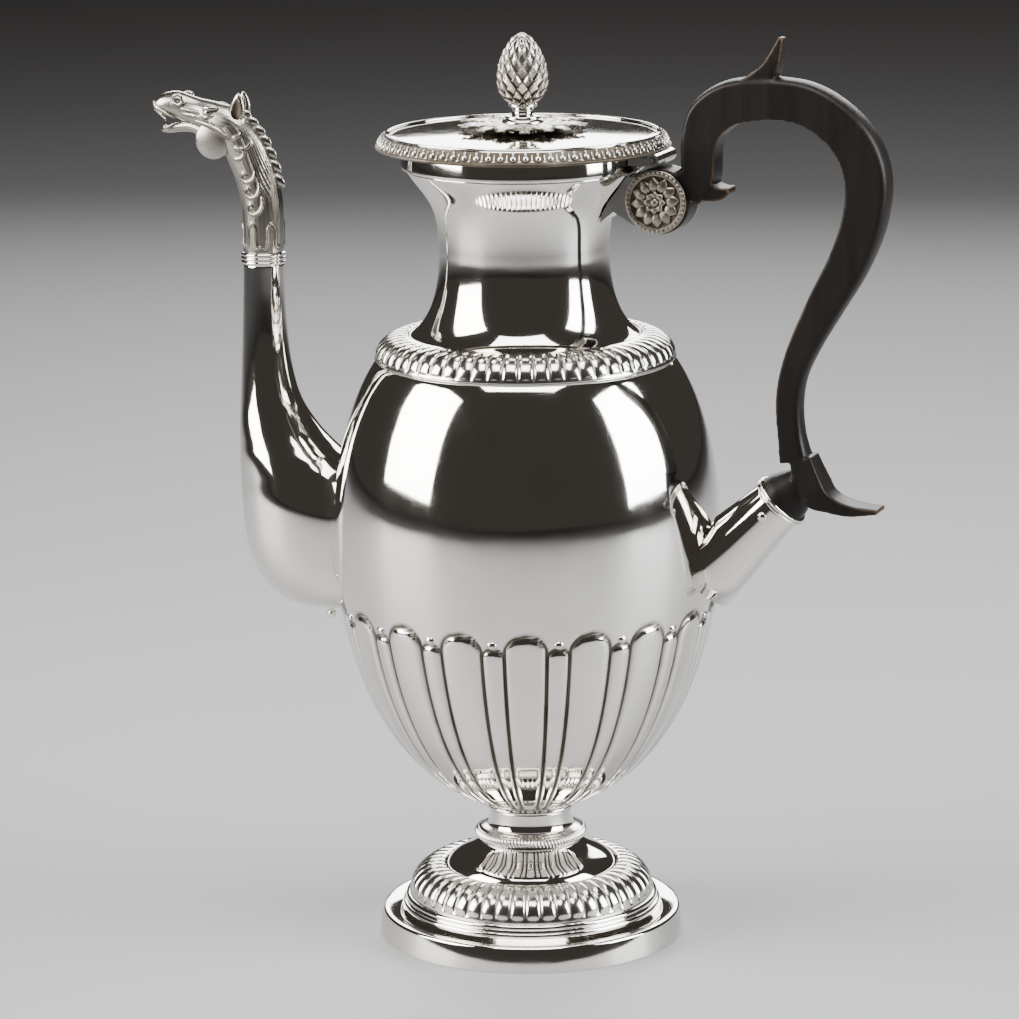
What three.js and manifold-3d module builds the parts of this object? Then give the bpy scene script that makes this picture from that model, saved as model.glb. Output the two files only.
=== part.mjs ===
// A silver coffee pot on a round foot, with a horse's-head spout, a hinged lid and an ebonised wood handle.
// Millimetres, +Z up. The spout points along -X and the handle along +X; the base stands on Z = 0.
import * as THREE from "three";
import { mergeVertices } from "three/addons/utils/BufferGeometryUtils.js";
import Module from "manifold-3d";

const wasm = await Module();
wasm.setup();

// ---------------------------------------------------------------- driving dimensions
const TURNED_SIDES = 36; // facets round a turned piece
const WALL = 1.2; // sheet silver
const SOLDER_GAP = 0.3; // between two pieces that are soldered or fitted together

// Foot
const FOOT_RADIUS = 52.5;
const FOOT_EDGE_WIDTH = 4; // the flat wire that the pot stands on
const PLINTH_HEIGHT = 8.5;
const PLINTH_TAPER = 1.6; // how much narrower the plinth is at its top
const FOOT_REEDS_RADIUS = FOOT_RADIUS - 8.5;
const FOOT_REEDS_HEIGHT = 5.1;
const FOOT_GADROON_RADIUS = FOOT_REEDS_RADIUS - 2.5;
const FOOT_GADROON_HEIGHT = 10.6;
const FOOT_GADROONS = 50;
const FOOT_DOME_RADIUS = FOOT_GADROON_RADIUS - 12.5;
const FOOT_DOME_HEIGHT = 8.4;
const STEM_RADIUS = 13.3;
const STEM_HEIGHT = 6.1;
const KNURLED_RING_RADIUS = STEM_RADIUS + 5.9;
const KNURLED_RING_HEIGHT = 4.6;
const COLLAR_RADIUS = STEM_RADIUS + 2.1;
const COLLAR_HEIGHT = 3;

// Body
const BODY_RADIUS = 65.2;
const BODY_BOTTOM_RADIUS = COLLAR_RADIUS + 1.1;
const BODY_LOWER_HEIGHT = 96.5; // from the bottom up to the widest place
const BODY_UPPER_HEIGHT = 56.3; // from the widest place up to the shoulder band
const SHOULDER_RADIUS = 50;
const LOBE_PAIRS = 18; // one wide and one narrow lobe each
const WIDE_LOBE_SHARE = 0.65;
const LOBE_RELIEF = 0.9;
const LOBE_HEIGHT = 65; // from the bottom up to the lobes' round heads
const SHOULDER_GADROONS = 60;
const GADROON_RELIEF = 0.9;
const SHOULDER_RISE = 9; // the shoulder band's height
const STRAINER_HOLE_RADIUS = 1.6;
const STRAINER_PITCH = 6.2;

// Neck and mouth
const NECK_BASE_RADIUS = 38.9;
const NECK_WAIST_RADIUS = 28.6;
const NECK_WAIST_RISE = 27.7; // from the neck's base up to its waist
const NECK_FLARE_RISE = 28; // from the waist up to the mouth rim
const MOUTH_RADIUS = 38; // inside
const MOUTH_RIM_WIDTH = 2.8;
const MOUTH_RIM_RADIUS = MOUTH_RADIUS + MOUTH_RIM_WIDTH;
const MOUTH_RIM_HEIGHT = 5.8;

// Lid
const LID_OVERHANG = 8.6; // beyond the mouth rim
const LID_RADIUS = MOUTH_RIM_RADIUS + LID_OVERHANG;
const LID_BORDER_HEIGHT = 4.6;
const LID_BORDER_WIDTH = 6.5;
const LID_DOME = 1.6;
const LID_LEAVES = 70;
const BEZEL_CLEARANCE = 0.8;
const BEZEL_DEPTH = 7;
const LID_SEAT_GAP = 0.5;

// Finial
const ROSETTE_RADIUS = 21.6;
const ROSETTE_LEAVES = 8;
const ROSETTE_GAP = 1; // the leaves stand this far above the lid
const STUD_RADIUS = 1.6;
const STUD_CLEARANCE = 0.2;
const SPOOL_HEIGHT = 5.2;
const SPOOL_RADIUS = 3.4;
const CONE_RADIUS = 8.7;
const CONE_HEIGHT = 23.6;

// Lid hinge
const HINGE_RADIUS = 2.2;
const HINGE_PIN_RADIUS = 0.95;
const HINGE_PIN_CLEARANCE = 0.22;
const HINGE_HALF_LENGTH = 9;
const HINGE_MIDDLE_HALF_LENGTH = 3;
const KNUCKLE_GAP = 0.3;
const HINGE_OUT = 7.6; // hinge axis outside the mouth rim
const HINGE_DROP = 1.5; // hinge axis below the lid's border

// Spout
const SPOUT_TOP_RADIUS = 6.9;
const SPOUT_OUT = 30.1; // the round top's centre, beyond the body's widest place
const SPOUT_TOP_REACH = BODY_RADIUS + SPOUT_OUT;
const SPOUT_BELLY_HALF = 19.5; // half the breadth of the belly
const SPOUT_TOP_ABOVE_BODY = 27.6; // above the shoulder band's lower edge
const SPOUT_WALL = 1.3;
const SPOUT_COLLAR_HEIGHT = 4;
const SPOUT_COLLAR_RADIUS = SPOUT_TOP_RADIUS + 0.8;
const HEAD_BORE = SPOUT_TOP_RADIUS * 0.575; // radius of the passage through the neck
const MOUTH_HALF_WIDTH = SPOUT_TOP_RADIUS * 0.42;
const MOUTH_HALF_HEIGHT = SPOUT_TOP_RADIUS * 0.3625;

// Handle
const DRUM_RADIUS = 11;
const DRUM_HALF_THICKNESS = 5.3;
const DRUM_OUT = 8; // the drum's centre, beyond the mouth rim
const DRUM_REACH = MOUTH_RIM_RADIUS + DRUM_OUT;
const DRUM_BELOW_RIM = 14.9; // drum's centre below the top of the mouth rim
const EAR_THICKNESS = 1.2;
const EAR_RADIUS = DRUM_RADIUS - 0.6;
const EAR_CLEARANCE = 0.25;
const ROSETTE_BOSS = 2.1;
const HANDLE_PIN_RADIUS = 1.6;
const PIN_CLEARANCE = 0.25;
const SOCKET_RADIUS = 9; // at its ring
const SOCKET_ROOT_RADIUS = SOCKET_RADIUS + 4;
const SOCKET_WALL = 1.4;
const SOCKET_OUT = 25.7; // ring centre, beyond the body's widest place
const SOCKET_REACH = BODY_RADIUS + SOCKET_OUT;
const SOCKET_TILT = Math.PI / 4;
const SOCKET_ABOVE_WIDEST = 14.4; // ring centre above the body's widest place
const SOCKET_RING_WIDTH = 2.4;
const SOCKET_RING_RADIUS = SOCKET_RADIUS + 0.9;
const TENON_RADIUS = SOCKET_RADIUS - SOCKET_WALL - 0.4;
const TENON_LENGTH = 15;

// ---------------------------------------------------------------- heights that follow
const reedsZ = PLINTH_HEIGHT;
const footGadroonZ = reedsZ + FOOT_REEDS_HEIGHT;
const footDomeZ = footGadroonZ + FOOT_GADROON_HEIGHT;
const knurledRingZ = footDomeZ + FOOT_DOME_HEIGHT;
const stemZ = knurledRingZ + KNURLED_RING_HEIGHT;
const collarZ = stemZ + STEM_HEIGHT;
const bodyZ = collarZ + COLLAR_HEIGHT;
const widestZ = bodyZ + BODY_LOWER_HEIGHT;
const shoulderZ = widestZ + BODY_UPPER_HEIGHT;
const neckZ = shoulderZ + SHOULDER_RISE;
const neckWaistZ = neckZ + NECK_WAIST_RISE;
const mouthRimZ = neckWaistZ + NECK_FLARE_RISE;
const mouthTopZ = mouthRimZ + MOUTH_RIM_HEIGHT;
const lidZ = mouthTopZ + LID_SEAT_GAP;
const lidPlateZ = lidZ + LID_BORDER_HEIGHT;
const lidCrownZ = lidPlateZ + LID_DOME;
const rosetteZ = lidCrownZ + ROSETTE_GAP;
const spoutTopZ = shoulderZ + SPOUT_TOP_ABOVE_BODY;
const headZ = spoutTopZ + SPOUT_COLLAR_HEIGHT;
const drumZ = mouthTopZ - DRUM_BELOW_RIM;
const hingeX = MOUTH_RIM_RADIUS + HINGE_OUT;
const hingeZ = lidZ - HINGE_DROP;
const socketZ = widestZ + SOCKET_ABOVE_WIDEST;

// ---------------------------------------------------------------- materials
const silver = () => new THREE.MeshStandardMaterial({ color: 0xcfcac0, roughness: 0.16, metalness: 1 });
const castSilver = () => new THREE.MeshStandardMaterial({ color: 0xa79f92, roughness: 0.34, metalness: 1 });
const ebonisedWood = () => new THREE.MeshStandardMaterial({ color: 0x16120f, roughness: 0.42, metalness: 0 });

// ---------------------------------------------------------------- shape helpers
const pot = new THREE.Group();
const lid = new THREE.Group();
pot.add(lid);

const flat = (x, z) => new THREE.Vector2(x, z);

function bezier(from, fromHandle, toHandle, to, steps) {
  return new THREE.CubicBezierCurve(flat(...from), flat(...fromHandle), flat(...toHandle), flat(...to))
    .getPoints(steps)
    .map((p) => [p.x, p.y]);
}

// A closed surface as a solid, turned right side out.
function solidFrom(geometry) {
  const bare = new THREE.BufferGeometry();
  bare.setAttribute("position", geometry.getAttribute("position").clone());
  if (geometry.index) bare.setIndex(geometry.index.clone());
  const merged = mergeVertices(bare, 1e-4);
  const corners = merged.index.array;
  const kept = [];
  for (let i = 0; i < corners.length; i += 3) {
    const [a, b, c] = [corners[i], corners[i + 1], corners[i + 2]];
    if (a !== b && b !== c && c !== a) kept.push(a, b, c);
  }
  const build = (triangles) =>
    new wasm.Manifold(
      new wasm.Mesh({
        numProp: 3,
        vertProperties: new Float32Array(merged.attributes.position.array),
        triVerts: new Uint32Array(triangles),
      }),
    );
  const first = build(kept);
  if (first.volume() >= 0) return first;
  for (let i = 0; i < kept.length; i += 3) [kept[i + 1], kept[i + 2]] = [kept[i + 2], kept[i + 1]];
  return build(kept);
}

function geometryOf(solid) {
  const mesh = solid.getMesh();
  const positions = new Float32Array(mesh.numVert * 3);
  for (let i = 0; i < mesh.numVert; i++) {
    positions.set(mesh.vertProperties.subarray(i * mesh.numProp, i * mesh.numProp + 3), i * 3);
  }
  const geometry = new THREE.BufferGeometry();
  geometry.setAttribute("position", new THREE.BufferAttribute(positions, 3));
  geometry.setIndex(new THREE.BufferAttribute(new Uint32Array(mesh.triVerts), 1));
  geometry.computeVertexNormals();
  return geometry;
}

function addPiece(name, solid, material, parent = pot) {
  const mesh = new THREE.Mesh(geometryOf(solid), material);
  mesh.name = name;
  parent.add(mesh);
}

// A section in radius and height, turned about the pot's axis.
function turned(section, sides = TURNED_SIDES, radiusAt = (r) => r) {
  const onAxis = section[0][0] === 0 && section[section.length - 1][0] === 0;
  const outline = (onAxis ? section : [...section, section[0]]).map(([r, z]) => flat(r, z));
  const geometry = new THREE.LatheGeometry(outline, sides);
  const position = geometry.getAttribute("position");
  for (let i = 0; i < position.count; i++) {
    const radius = Math.hypot(position.getX(i), position.getZ(i));
    const angle = Math.atan2(position.getX(i), position.getZ(i));
    const height = position.getY(i);
    const share = radius > 0 ? radiusAt(radius, height, angle) / radius : 0;
    position.setXYZ(i, position.getX(i) * share, height, position.getZ(i) * share);
  }
  geometry.rotateX(Math.PI / 2);
  return solidFrom(geometry);
}

// Rows of points, each a closed ring, skinned one after the other and closed at both ends.
function skinned(rows) {
  const count = rows[0].length;
  const points = rows.flat();
  const triangles = [];
  for (let row = 0; row + 1 < rows.length; row++) {
    for (let i = 0; i < count; i++) {
      const [a, b] = [row * count + i, row * count + ((i + 1) % count)];
      triangles.push(a, b, b + count, a, b + count, a + count);
    }
  }
  for (const [row, side] of [[0, -1], [rows.length - 1, 1]]) {
    const centre = points.length;
    points.push(rows[row].reduce((sum, p) => sum.add(p), new THREE.Vector3()).divideScalar(count));
    for (let i = 0; i < count; i++) {
      const [a, b] = [row * count + i, row * count + ((i + 1) % count)];
      if (side < 0) triangles.push(b, a, centre);
      else triangles.push(a, b, centre);
    }
  }
  const geometry = new THREE.BufferGeometry().setFromPoints(points);
  geometry.setIndex(triangles);
  return solidFrom(geometry);
}

function boxSolid(low, high) {
  const size = high.map((value, i) => value - low[i]);
  const geometry = new THREE.BoxGeometry(...size);
  geometry.translate(...low.map((value, i) => value + size[i] / 2));
  return solidFrom(geometry);
}

// A rod or tube wall along Y, centred at (x, z).
function rodAlongY(radius, x, z, fromY, toY, sides = 16) {
  const geometry = new THREE.CylinderGeometry(radius, radius, toY - fromY, sides);
  geometry.translate(0, (fromY + toY) / 2, 0);
  geometry.translate(x, 0, z);
  return solidFrom(geometry);
}

function cylinderBetween(radiusFrom, radiusTo, from, to, sides = 24) {
  const direction = new THREE.Vector3().subVectors(to, from);
  const geometry = new THREE.CylinderGeometry(radiusTo, radiusFrom, direction.length(), sides);
  const turn = new THREE.Quaternion().setFromUnitVectors(
    new THREE.Vector3(0, 1, 0),
    direction.clone().normalize(),
  );
  geometry.applyQuaternion(turn);
  geometry.translate(...new THREE.Vector3().addVectors(from, to).multiplyScalar(0.5));
  return solidFrom(geometry);
}

// The same curve moved sideways by a distance: inwards, towards the axis, when the curve runs upwards.
function movedIn(curve, distance) {
  return curve.map(([r, z], i) => {
    const before = curve[Math.max(i - 1, 0)];
    const after = curve[Math.min(i + 1, curve.length - 1)];
    const along = [after[0] - before[0], after[1] - before[1]];
    const length = Math.hypot(...along);
    return [r - (distance * along[1]) / length, z + (distance * along[0]) / length];
  });
}

// A shell of sheet silver whose outside is a curve that runs upwards; its two ends are cut level.
function shellSection(curve, wall) {
  const [low, high] = [curve[0][1], curve[curve.length - 1][1]];
  const inside = movedIn(curve, wall).map(([r, z], i) => {
    if (i === 0) return [r, low];
    if (i === curve.length - 1) return [r, high];
    return [r, THREE.MathUtils.clamp(z, low + 0.1, high - 0.1)];
  });
  return [...curve, ...inside.reverse()];
}

// Gadroons: round ribs side by side, pressed into a band between two heights and outside a radius.
function gadroons(count, low, high, insideRadius) {
  return (radius, height, angle) => {
    const onBand = height > low && height < high && radius > insideRadius;
    return onBand ? radius + GADROON_RELIEF * (Math.abs(Math.sin((count * angle) / 2)) - 1) : radius;
  };
}

// ---------------------------------------------------------------- foot
function addFoot() {
  const inner = FOOT_REEDS_RADIUS - 1;
  const plinthTop = FOOT_RADIUS - PLINTH_TAPER;
  addPiece(
    "foot_plinth",
    turned([
      [FOOT_RADIUS - FOOT_EDGE_WIDTH, 0],
      [FOOT_RADIUS, 0],
      [plinthTop, PLINTH_HEIGHT - 0.8],
      [plinthTop - 0.8, PLINTH_HEIGHT],
      [inner, PLINTH_HEIGHT],
      [inner, PLINTH_HEIGHT - WALL],
      [plinthTop - 2 * WALL, PLINTH_HEIGHT - WALL],
      [FOOT_RADIUS - 2 * WALL, 1.5],
      [FOOT_RADIUS - FOOT_EDGE_WIDTH, 1.5],
    ]),
    silver(),
  );
  const reed = FOOT_REEDS_HEIGHT / 2;
  addPiece(
    "foot_reeded_step",
    turned([
      [inner - 2, reedsZ],
      [FOOT_REEDS_RADIUS - 0.4, reedsZ],
      [FOOT_REEDS_RADIUS + 0.2, reedsZ + reed / 2],
      [FOOT_REEDS_RADIUS - 1, reedsZ + reed],
      [FOOT_REEDS_RADIUS - 1.8, footGadroonZ],
      [inner - 3, footGadroonZ],
    ]),
    silver(),
  );
  const band = bezier(
    [FOOT_GADROON_RADIUS, footGadroonZ],
    [FOOT_GADROON_RADIUS + 0.6, footGadroonZ + FOOT_GADROON_HEIGHT * 0.55],
    [FOOT_DOME_RADIUS + 6, footDomeZ + 0.2],
    [FOOT_DOME_RADIUS + 0.4, footDomeZ],
    3,
  );
  addPiece(
    "foot_gadroon_band",
    turned(
      [
        ...band,
        [FOOT_DOME_RADIUS + 0.4, footDomeZ - WALL],
        [FOOT_GADROON_RADIUS - 3.5, footGadroonZ],
      ],
      FOOT_GADROONS * 2,
      gadroons(FOOT_GADROONS, footGadroonZ + 0.5, footDomeZ - 0.1, FOOT_DOME_RADIUS + 1),
    ),
    castSilver(),
  );
  const dome = bezier(
    [FOOT_DOME_RADIUS, footDomeZ - WALL],
    [FOOT_DOME_RADIUS - 3, footDomeZ + 3.4],
    [STEM_RADIUS + 8, footDomeZ + 4],
    [STEM_RADIUS + 4, knurledRingZ],
    3,
  );
  addPiece("foot_dome", turned(shellSection(dome, WALL)), silver());
  const ringMiddle = knurledRingZ + KNURLED_RING_HEIGHT / 2;
  addPiece(
    "stem_knurled_ring",
    turned([
      [STEM_RADIUS - 1, knurledRingZ],
      [KNURLED_RING_RADIUS - 1.2, knurledRingZ],
      [KNURLED_RING_RADIUS, ringMiddle],
      [KNURLED_RING_RADIUS - 1.4, stemZ],
      [STEM_RADIUS - 1, stemZ],
    ]),
    castSilver(),
  );
  addPiece(
    "stem",
    turned(
      shellSection(
        bezier(
          [STEM_RADIUS + 1.4, stemZ],
          [STEM_RADIUS - 0.3, stemZ + 2],
          [STEM_RADIUS - 0.4, collarZ - 2.5],
          [STEM_RADIUS + 0.8, collarZ],
          3,
        ),
        WALL,
      ),
    ),
    silver(),
  );
  addPiece(
    "stem_collar",
    turned([
      [STEM_RADIUS - 1, collarZ],
      [COLLAR_RADIUS - 0.6, collarZ],
      [COLLAR_RADIUS, (collarZ + bodyZ) / 2],
      [COLLAR_RADIUS - 0.6, bodyZ],
      [STEM_RADIUS - 1, bodyZ],
    ]),
    silver(),
  );
}

// ---------------------------------------------------------------- body
const bodyLower = bezier(
  [BODY_BOTTOM_RADIUS, bodyZ],
  [
    BODY_BOTTOM_RADIUS + (BODY_RADIUS - BODY_BOTTOM_RADIUS) * 0.605,
    bodyZ + BODY_LOWER_HEIGHT * 0.11,
  ],
  [BODY_RADIUS, bodyZ + BODY_LOWER_HEIGHT * 0.5],
  [BODY_RADIUS, widestZ],
  8,
);
const bodyUpper = bezier(
  [BODY_RADIUS, widestZ],
  [BODY_RADIUS, widestZ + BODY_UPPER_HEIGHT * 0.4],
  [
    SHOULDER_RADIUS + (BODY_RADIUS - SHOULDER_RADIUS) * 0.57,
    shoulderZ - BODY_UPPER_HEIGHT * 0.204,
  ],
  [SHOULDER_RADIUS, shoulderZ],
  4,
);
const bodyCurve = [...bodyLower, ...bodyUpper.slice(1)];
// Under the shoulder band the sheet goes on inwards to the neck.
const shoulderInner = [NECK_BASE_RADIUS - 0.5, neckZ - 2];

// Heights on the lobed part: 0 above the lobes' heads, 1 below them.
function lobeShare(height) {
  const head = bodyZ + LOBE_HEIGHT;
  return THREE.MathUtils.clamp((head - height) / 5, 0, 1);
}

// The pot's plain outside, filled in, and grown by a gap: it trims what is fitted against the wall.
function bodyFilled(gap) {
  const outside = movedIn(bodyCurve, -gap);
  const top = [shoulderInner[0] + gap, shoulderInner[1] + gap];
  return turned([[0, bodyZ - gap], ...outside, top, [0, top[1]]]);
}

function neckCurve() {
  const lower = bezier(
    [NECK_BASE_RADIUS - 0.2, neckZ - 1.8],
    [NECK_WAIST_RADIUS - 0.2, neckZ + 5.2],
    [NECK_WAIST_RADIUS - 0.3, neckWaistZ - 2],
    [NECK_WAIST_RADIUS, neckWaistZ],
    4,
  );
  const upper = bezier(
    [NECK_WAIST_RADIUS, neckWaistZ],
    [NECK_WAIST_RADIUS, neckWaistZ + NECK_FLARE_RISE * 0.63],
    [MOUTH_RIM_RADIUS - 8, mouthRimZ - NECK_FLARE_RISE * 0.4],
    [MOUTH_RIM_RADIUS - 1.2, mouthRimZ],
    5,
  );
  return [...lower, ...upper.slice(1)];
}

function addBody() {
  // Across a pair of lobes the wall goes groove, wide lobe, groove, narrow lobe; the grooves are cut in.
  const wide = WIDE_LOBE_SHARE / 2;
  const stations = [-wide, 0, wide, 0.5];
  const stepsPerPair = stations.length;
  const sides = LOBE_PAIRS * stepsPerPair;
  const curve = [[0, bodyZ], ...bodyCurve, shoulderInner, [0, shoulderInner[1]]];
  const rows = curve.slice(1, -1).map(([radius, height]) => {
    const row = [];
    for (let i = 0; i < sides; i++) {
      const station = i % stepsPerPair;
      const angle = ((Math.floor(i / stepsPerPair) + stations[station]) * 2 * Math.PI) / LOBE_PAIRS;
      const groove = station % 2 === 0;
      const r = radius - (groove ? LOBE_RELIEF * lobeShare(height) : 0);
      row.push(new THREE.Vector3(r * Math.cos(angle), r * Math.sin(angle), height));
    }
    return row;
  });
  const inside = movedIn(bodyCurve, WALL + LOBE_RELIEF * 0.5);
  const opening = [shoulderInner[0] - WALL, shoulderInner[1] - WALL];
  const hollow = turned(
    [
      [0, bodyZ + 2 * WALL],
      [BODY_BOTTOM_RADIUS, bodyZ + 2 * WALL],
      ...inside.filter(([, z]) => z > bodyZ + 3 * WALL),
      opening,
      [opening[0], neckZ + 5],
      [0, neckZ + 5],
    ],
  );
  let shell = skinned(rows).subtract(hollow);
  for (const hole of strainerHoles()) shell = shell.subtract(hole);
  addPiece("body_shell", shell, silver());

  const band = bezier(
    [SHOULDER_RADIUS + 0.3, shoulderZ + SOLDER_GAP],
    [SHOULDER_RADIUS + 0.6, shoulderZ + 4],
    [NECK_BASE_RADIUS + 6, neckZ - 0.6],
    [NECK_BASE_RADIUS + 0.1, neckZ],
    3,
  );
  addPiece(
    "shoulder_gadroon_band",
    turned(
      [...band, [NECK_BASE_RADIUS + 0.1, shoulderInner[1] + SOLDER_GAP]],
      SHOULDER_GADROONS * 2,
      gadroons(SHOULDER_GADROONS, shoulderZ + 1, neckZ - 0.3, NECK_BASE_RADIUS + 1),
    ),
    castSilver(),
  );
  addPiece("neck_shell", turned(shellSection(neckCurve(), WALL)), silver());
  addPiece(
    "mouth_rim",
    turned([
      [MOUTH_RADIUS, mouthRimZ],
      [MOUTH_RIM_RADIUS, mouthRimZ],
      [MOUTH_RIM_RADIUS, mouthTopZ - 0.6],
      [MOUTH_RIM_RADIUS - 0.6, mouthTopZ],
      [MOUTH_RADIUS, mouthTopZ],
    ]),
    silver(),
  );
}

// ---------------------------------------------------------------- spout
// Level sections of the spout, from its round belly up to its round top. front is the side away from the
// pot and back the side towards it, both measured from the pot's axis; half is half its breadth.
const spoutFront = SPOUT_TOP_REACH + SPOUT_TOP_RADIUS;
const spoutBack = SPOUT_TOP_REACH - SPOUT_TOP_RADIUS;
const spoutRootZ = widestZ - 36.4; // the belly's lowest point
const spoutRise = spoutTopZ - spoutRootZ;
const insideBody = BODY_RADIUS - 10;
// A place between the body's widest line and the front of the pipe.
const between = (share) => BODY_RADIUS + share * (spoutFront - BODY_RADIUS);
// A half breadth between the round top's and the belly's.
const breadth = (share) => SPOUT_TOP_RADIUS + share * (SPOUT_BELLY_HALF - SPOUT_TOP_RADIUS);
const spoutStations = [
  { rise: 0, front: between(0.3651), back: between(0.1534), half: breadth(-0.4348) },
  { rise: 0.01, front: between(0.5238), back: insideBody, half: breadth(-0.087) },
  { rise: 0.035, front: between(0.709), back: insideBody, half: breadth(0.2609) },
  { rise: 0.1, front: between(0.8915), back: insideBody, half: breadth(0.6957) },
  { rise: 0.185, front: between(0.9841), back: insideBody, half: breadth(0.9391) },
  { rise: 0.3, front: spoutFront + 1.3, back: insideBody, half: breadth(1) },
  { rise: 0.4, front: spoutFront + 1.6, back: insideBody, half: breadth(0.8522) },
  { rise: 0.447, front: spoutFront + 1.6, back: insideBody + 5, half: breadth(0.7478) },
  { rise: 0.48, front: spoutFront + 1.6, back: between(0.127), half: breadth(0.6609) },
  { rise: 0.52, front: spoutFront + 1.6, back: between(0.2937), half: breadth(0.5217) },
  { rise: 0.6, front: spoutFront + 1.5, back: between(0.4418), half: breadth(0.3217) },
  { rise: 0.75, front: spoutFront + 1.1, back: between(0.5503), half: breadth(0.1043) },
  { rise: 0.89, front: spoutFront + 0.3, back: spoutBack, half: breadth(0.0174) },
  { rise: 1, front: spoutFront, back: spoutBack, half: SPOUT_TOP_RADIUS },
];

function spoutSolid(inset, extraTop) {
  const around = 18;
  const usable = spoutStations.filter((s) => s.half > inset + 2);
  const rows = usable.map(({ rise, front, back, half }) => {
    const low = rise < 0.05 ? inset : 0;
    const z = spoutRootZ + rise * spoutRise + low + (rise === 1 ? extraTop : 0);
    const reach = (front - inset + (back + inset)) / 2;
    const depth = (front - inset - (back + inset)) / 2;
    const row = [];
    for (let i = 0; i < around; i++) {
      const angle = (i / around) * 2 * Math.PI;
      row.push(
        new THREE.Vector3(
          -reach + depth * Math.cos(angle),
          (half - inset) * Math.sin(angle),
          z,
        ),
      );
    }
    return row;
  });
  return skinned(rows);
}

// The strainer: holes through the body's wall behind the spout's belly, one in the middle and two rings.
function strainerHoles() {
  const centreZ = spoutRootZ + 0.3 * spoutRise;
  const holes = [];
  const pierce = (y, z) =>
    holes.push(
      cylinderBetween(
        STRAINER_HOLE_RADIUS,
        STRAINER_HOLE_RADIUS,
        new THREE.Vector3(-BODY_RADIUS - 4, y, z),
        new THREE.Vector3(-BODY_RADIUS * 0.6, y, z),
        6,
      ),
    );
  pierce(0, centreZ);
  for (const [distance, offset] of [[1, 0], [Math.sqrt(3), Math.PI / 6]]) {
    for (let i = 0; i < 6; i++) {
      const angle = (i * Math.PI) / 3 + offset;
      const away = distance * STRAINER_PITCH;
      pierce(away * Math.cos(angle), centreZ + away * Math.sin(angle));
    }
  }
  return holes;
}

function upright(section, x, sides = 20) {
  return turned(section, sides).translate([x, 0, 0]);
}

function addSpout() {
  const outside = spoutSolid(0, 0);
  const passage = spoutSolid(SPOUT_WALL, 1);
  addPiece("spout_tube", outside.subtract(passage).subtract(bodyFilled(SOLDER_GAP)), silver());
  const third = SPOUT_COLLAR_HEIGHT / 3;
  const bore = SPOUT_TOP_RADIUS - SPOUT_WALL;
  const reeds = [0, 1, 2].flatMap((i) => [
    [SPOUT_COLLAR_RADIUS - 0.4, spoutTopZ + i * third],
    [SPOUT_COLLAR_RADIUS, spoutTopZ + (i + 0.5) * third],
  ]);
  addPiece(
    "spout_reeded_collar",
    upright(
      [[bore, spoutTopZ], ...reeds, [SPOUT_COLLAR_RADIUS - 0.4, headZ], [bore, headZ]],
      -SPOUT_TOP_REACH,
    ),
    silver(),
  );
  addPiece("horse_head", horseHead(), castSilver());
  // The small drop of silver that closes the joint under the spout's belly.
  const dropReach = between(0.206);
  const drop = new THREE.SphereGeometry(1.5, 10, 6);
  drop.translate(-dropReach, 0, spoutRootZ - 1.6);
  addPiece("spout_drop", solidFrom(drop), silver());
}

// ---------------------------------------------------------------- horse's head
// Sections across the neck and head, from the collar up round the poll and out to the muzzle. Each has the
// point on the throat side and on the mane side (forward of the spout's middle line, height above the
// collar) and half its breadth. All of it grows with the spout's top.
const headSize = SPOUT_TOP_RADIUS / 7.1;
const neckStations = [
  { throat: [7.3, 0], mane: [-7.3, 0], half: 7.3 },
  { throat: [7.8, 9], mane: [-7.9, 9], half: 7.4 },
  { throat: [8.6, 17], mane: [-7.8, 18], half: 7.2 },
  { throat: [10.4, 24], mane: [-6.4, 27.5], half: 7 },
  { throat: [12.4, 30], mane: [-3.4, 36.5], half: 6.8 },
  { throat: [13.6, 34.5], mane: [1, 43], half: 6.6 },
  { throat: [15.2, 38], mane: [7.5, 48], half: 6.6 },
];
const headStations = [
  { jaw: [9, 39], brow: [6, 47], half: 5.8 },
  { jaw: [13, 37.5], brow: [11.5, 50], half: 6.6 },
  { jaw: [19, 38.5], brow: [17.5, 51.2], half: 6.3 },
  { jaw: [25.5, 40.6], brow: [23.5, 51.8], half: 5.2 },
  { jaw: [31, 40.4], brow: [30, 54], half: 4.8 },
  { jaw: [36, 39.6], brow: [35, 53], half: 4.7 },
  { jaw: [39.4, 42], brow: [39.8, 49.4], half: 3.6 },
];

function oval(low, high, half, around) {
  const middle = [(low[0] + high[0]) / 2, (low[1] + high[1]) / 2];
  const arm = [(high[0] - low[0]) / 2, (high[1] - low[1]) / 2];
  const row = [];
  for (let i = 0; i < around; i++) {
    const angle = (i / around) * 2 * Math.PI;
    row.push(
      new THREE.Vector3(
        -SPOUT_TOP_REACH - headSize * (middle[0] + arm[0] * Math.cos(angle)),
        headSize * half * Math.sin(angle),
        headZ + headSize * (middle[1] + arm[1] * Math.cos(angle)),
      ),
    );
  }
  return row;
}

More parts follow.
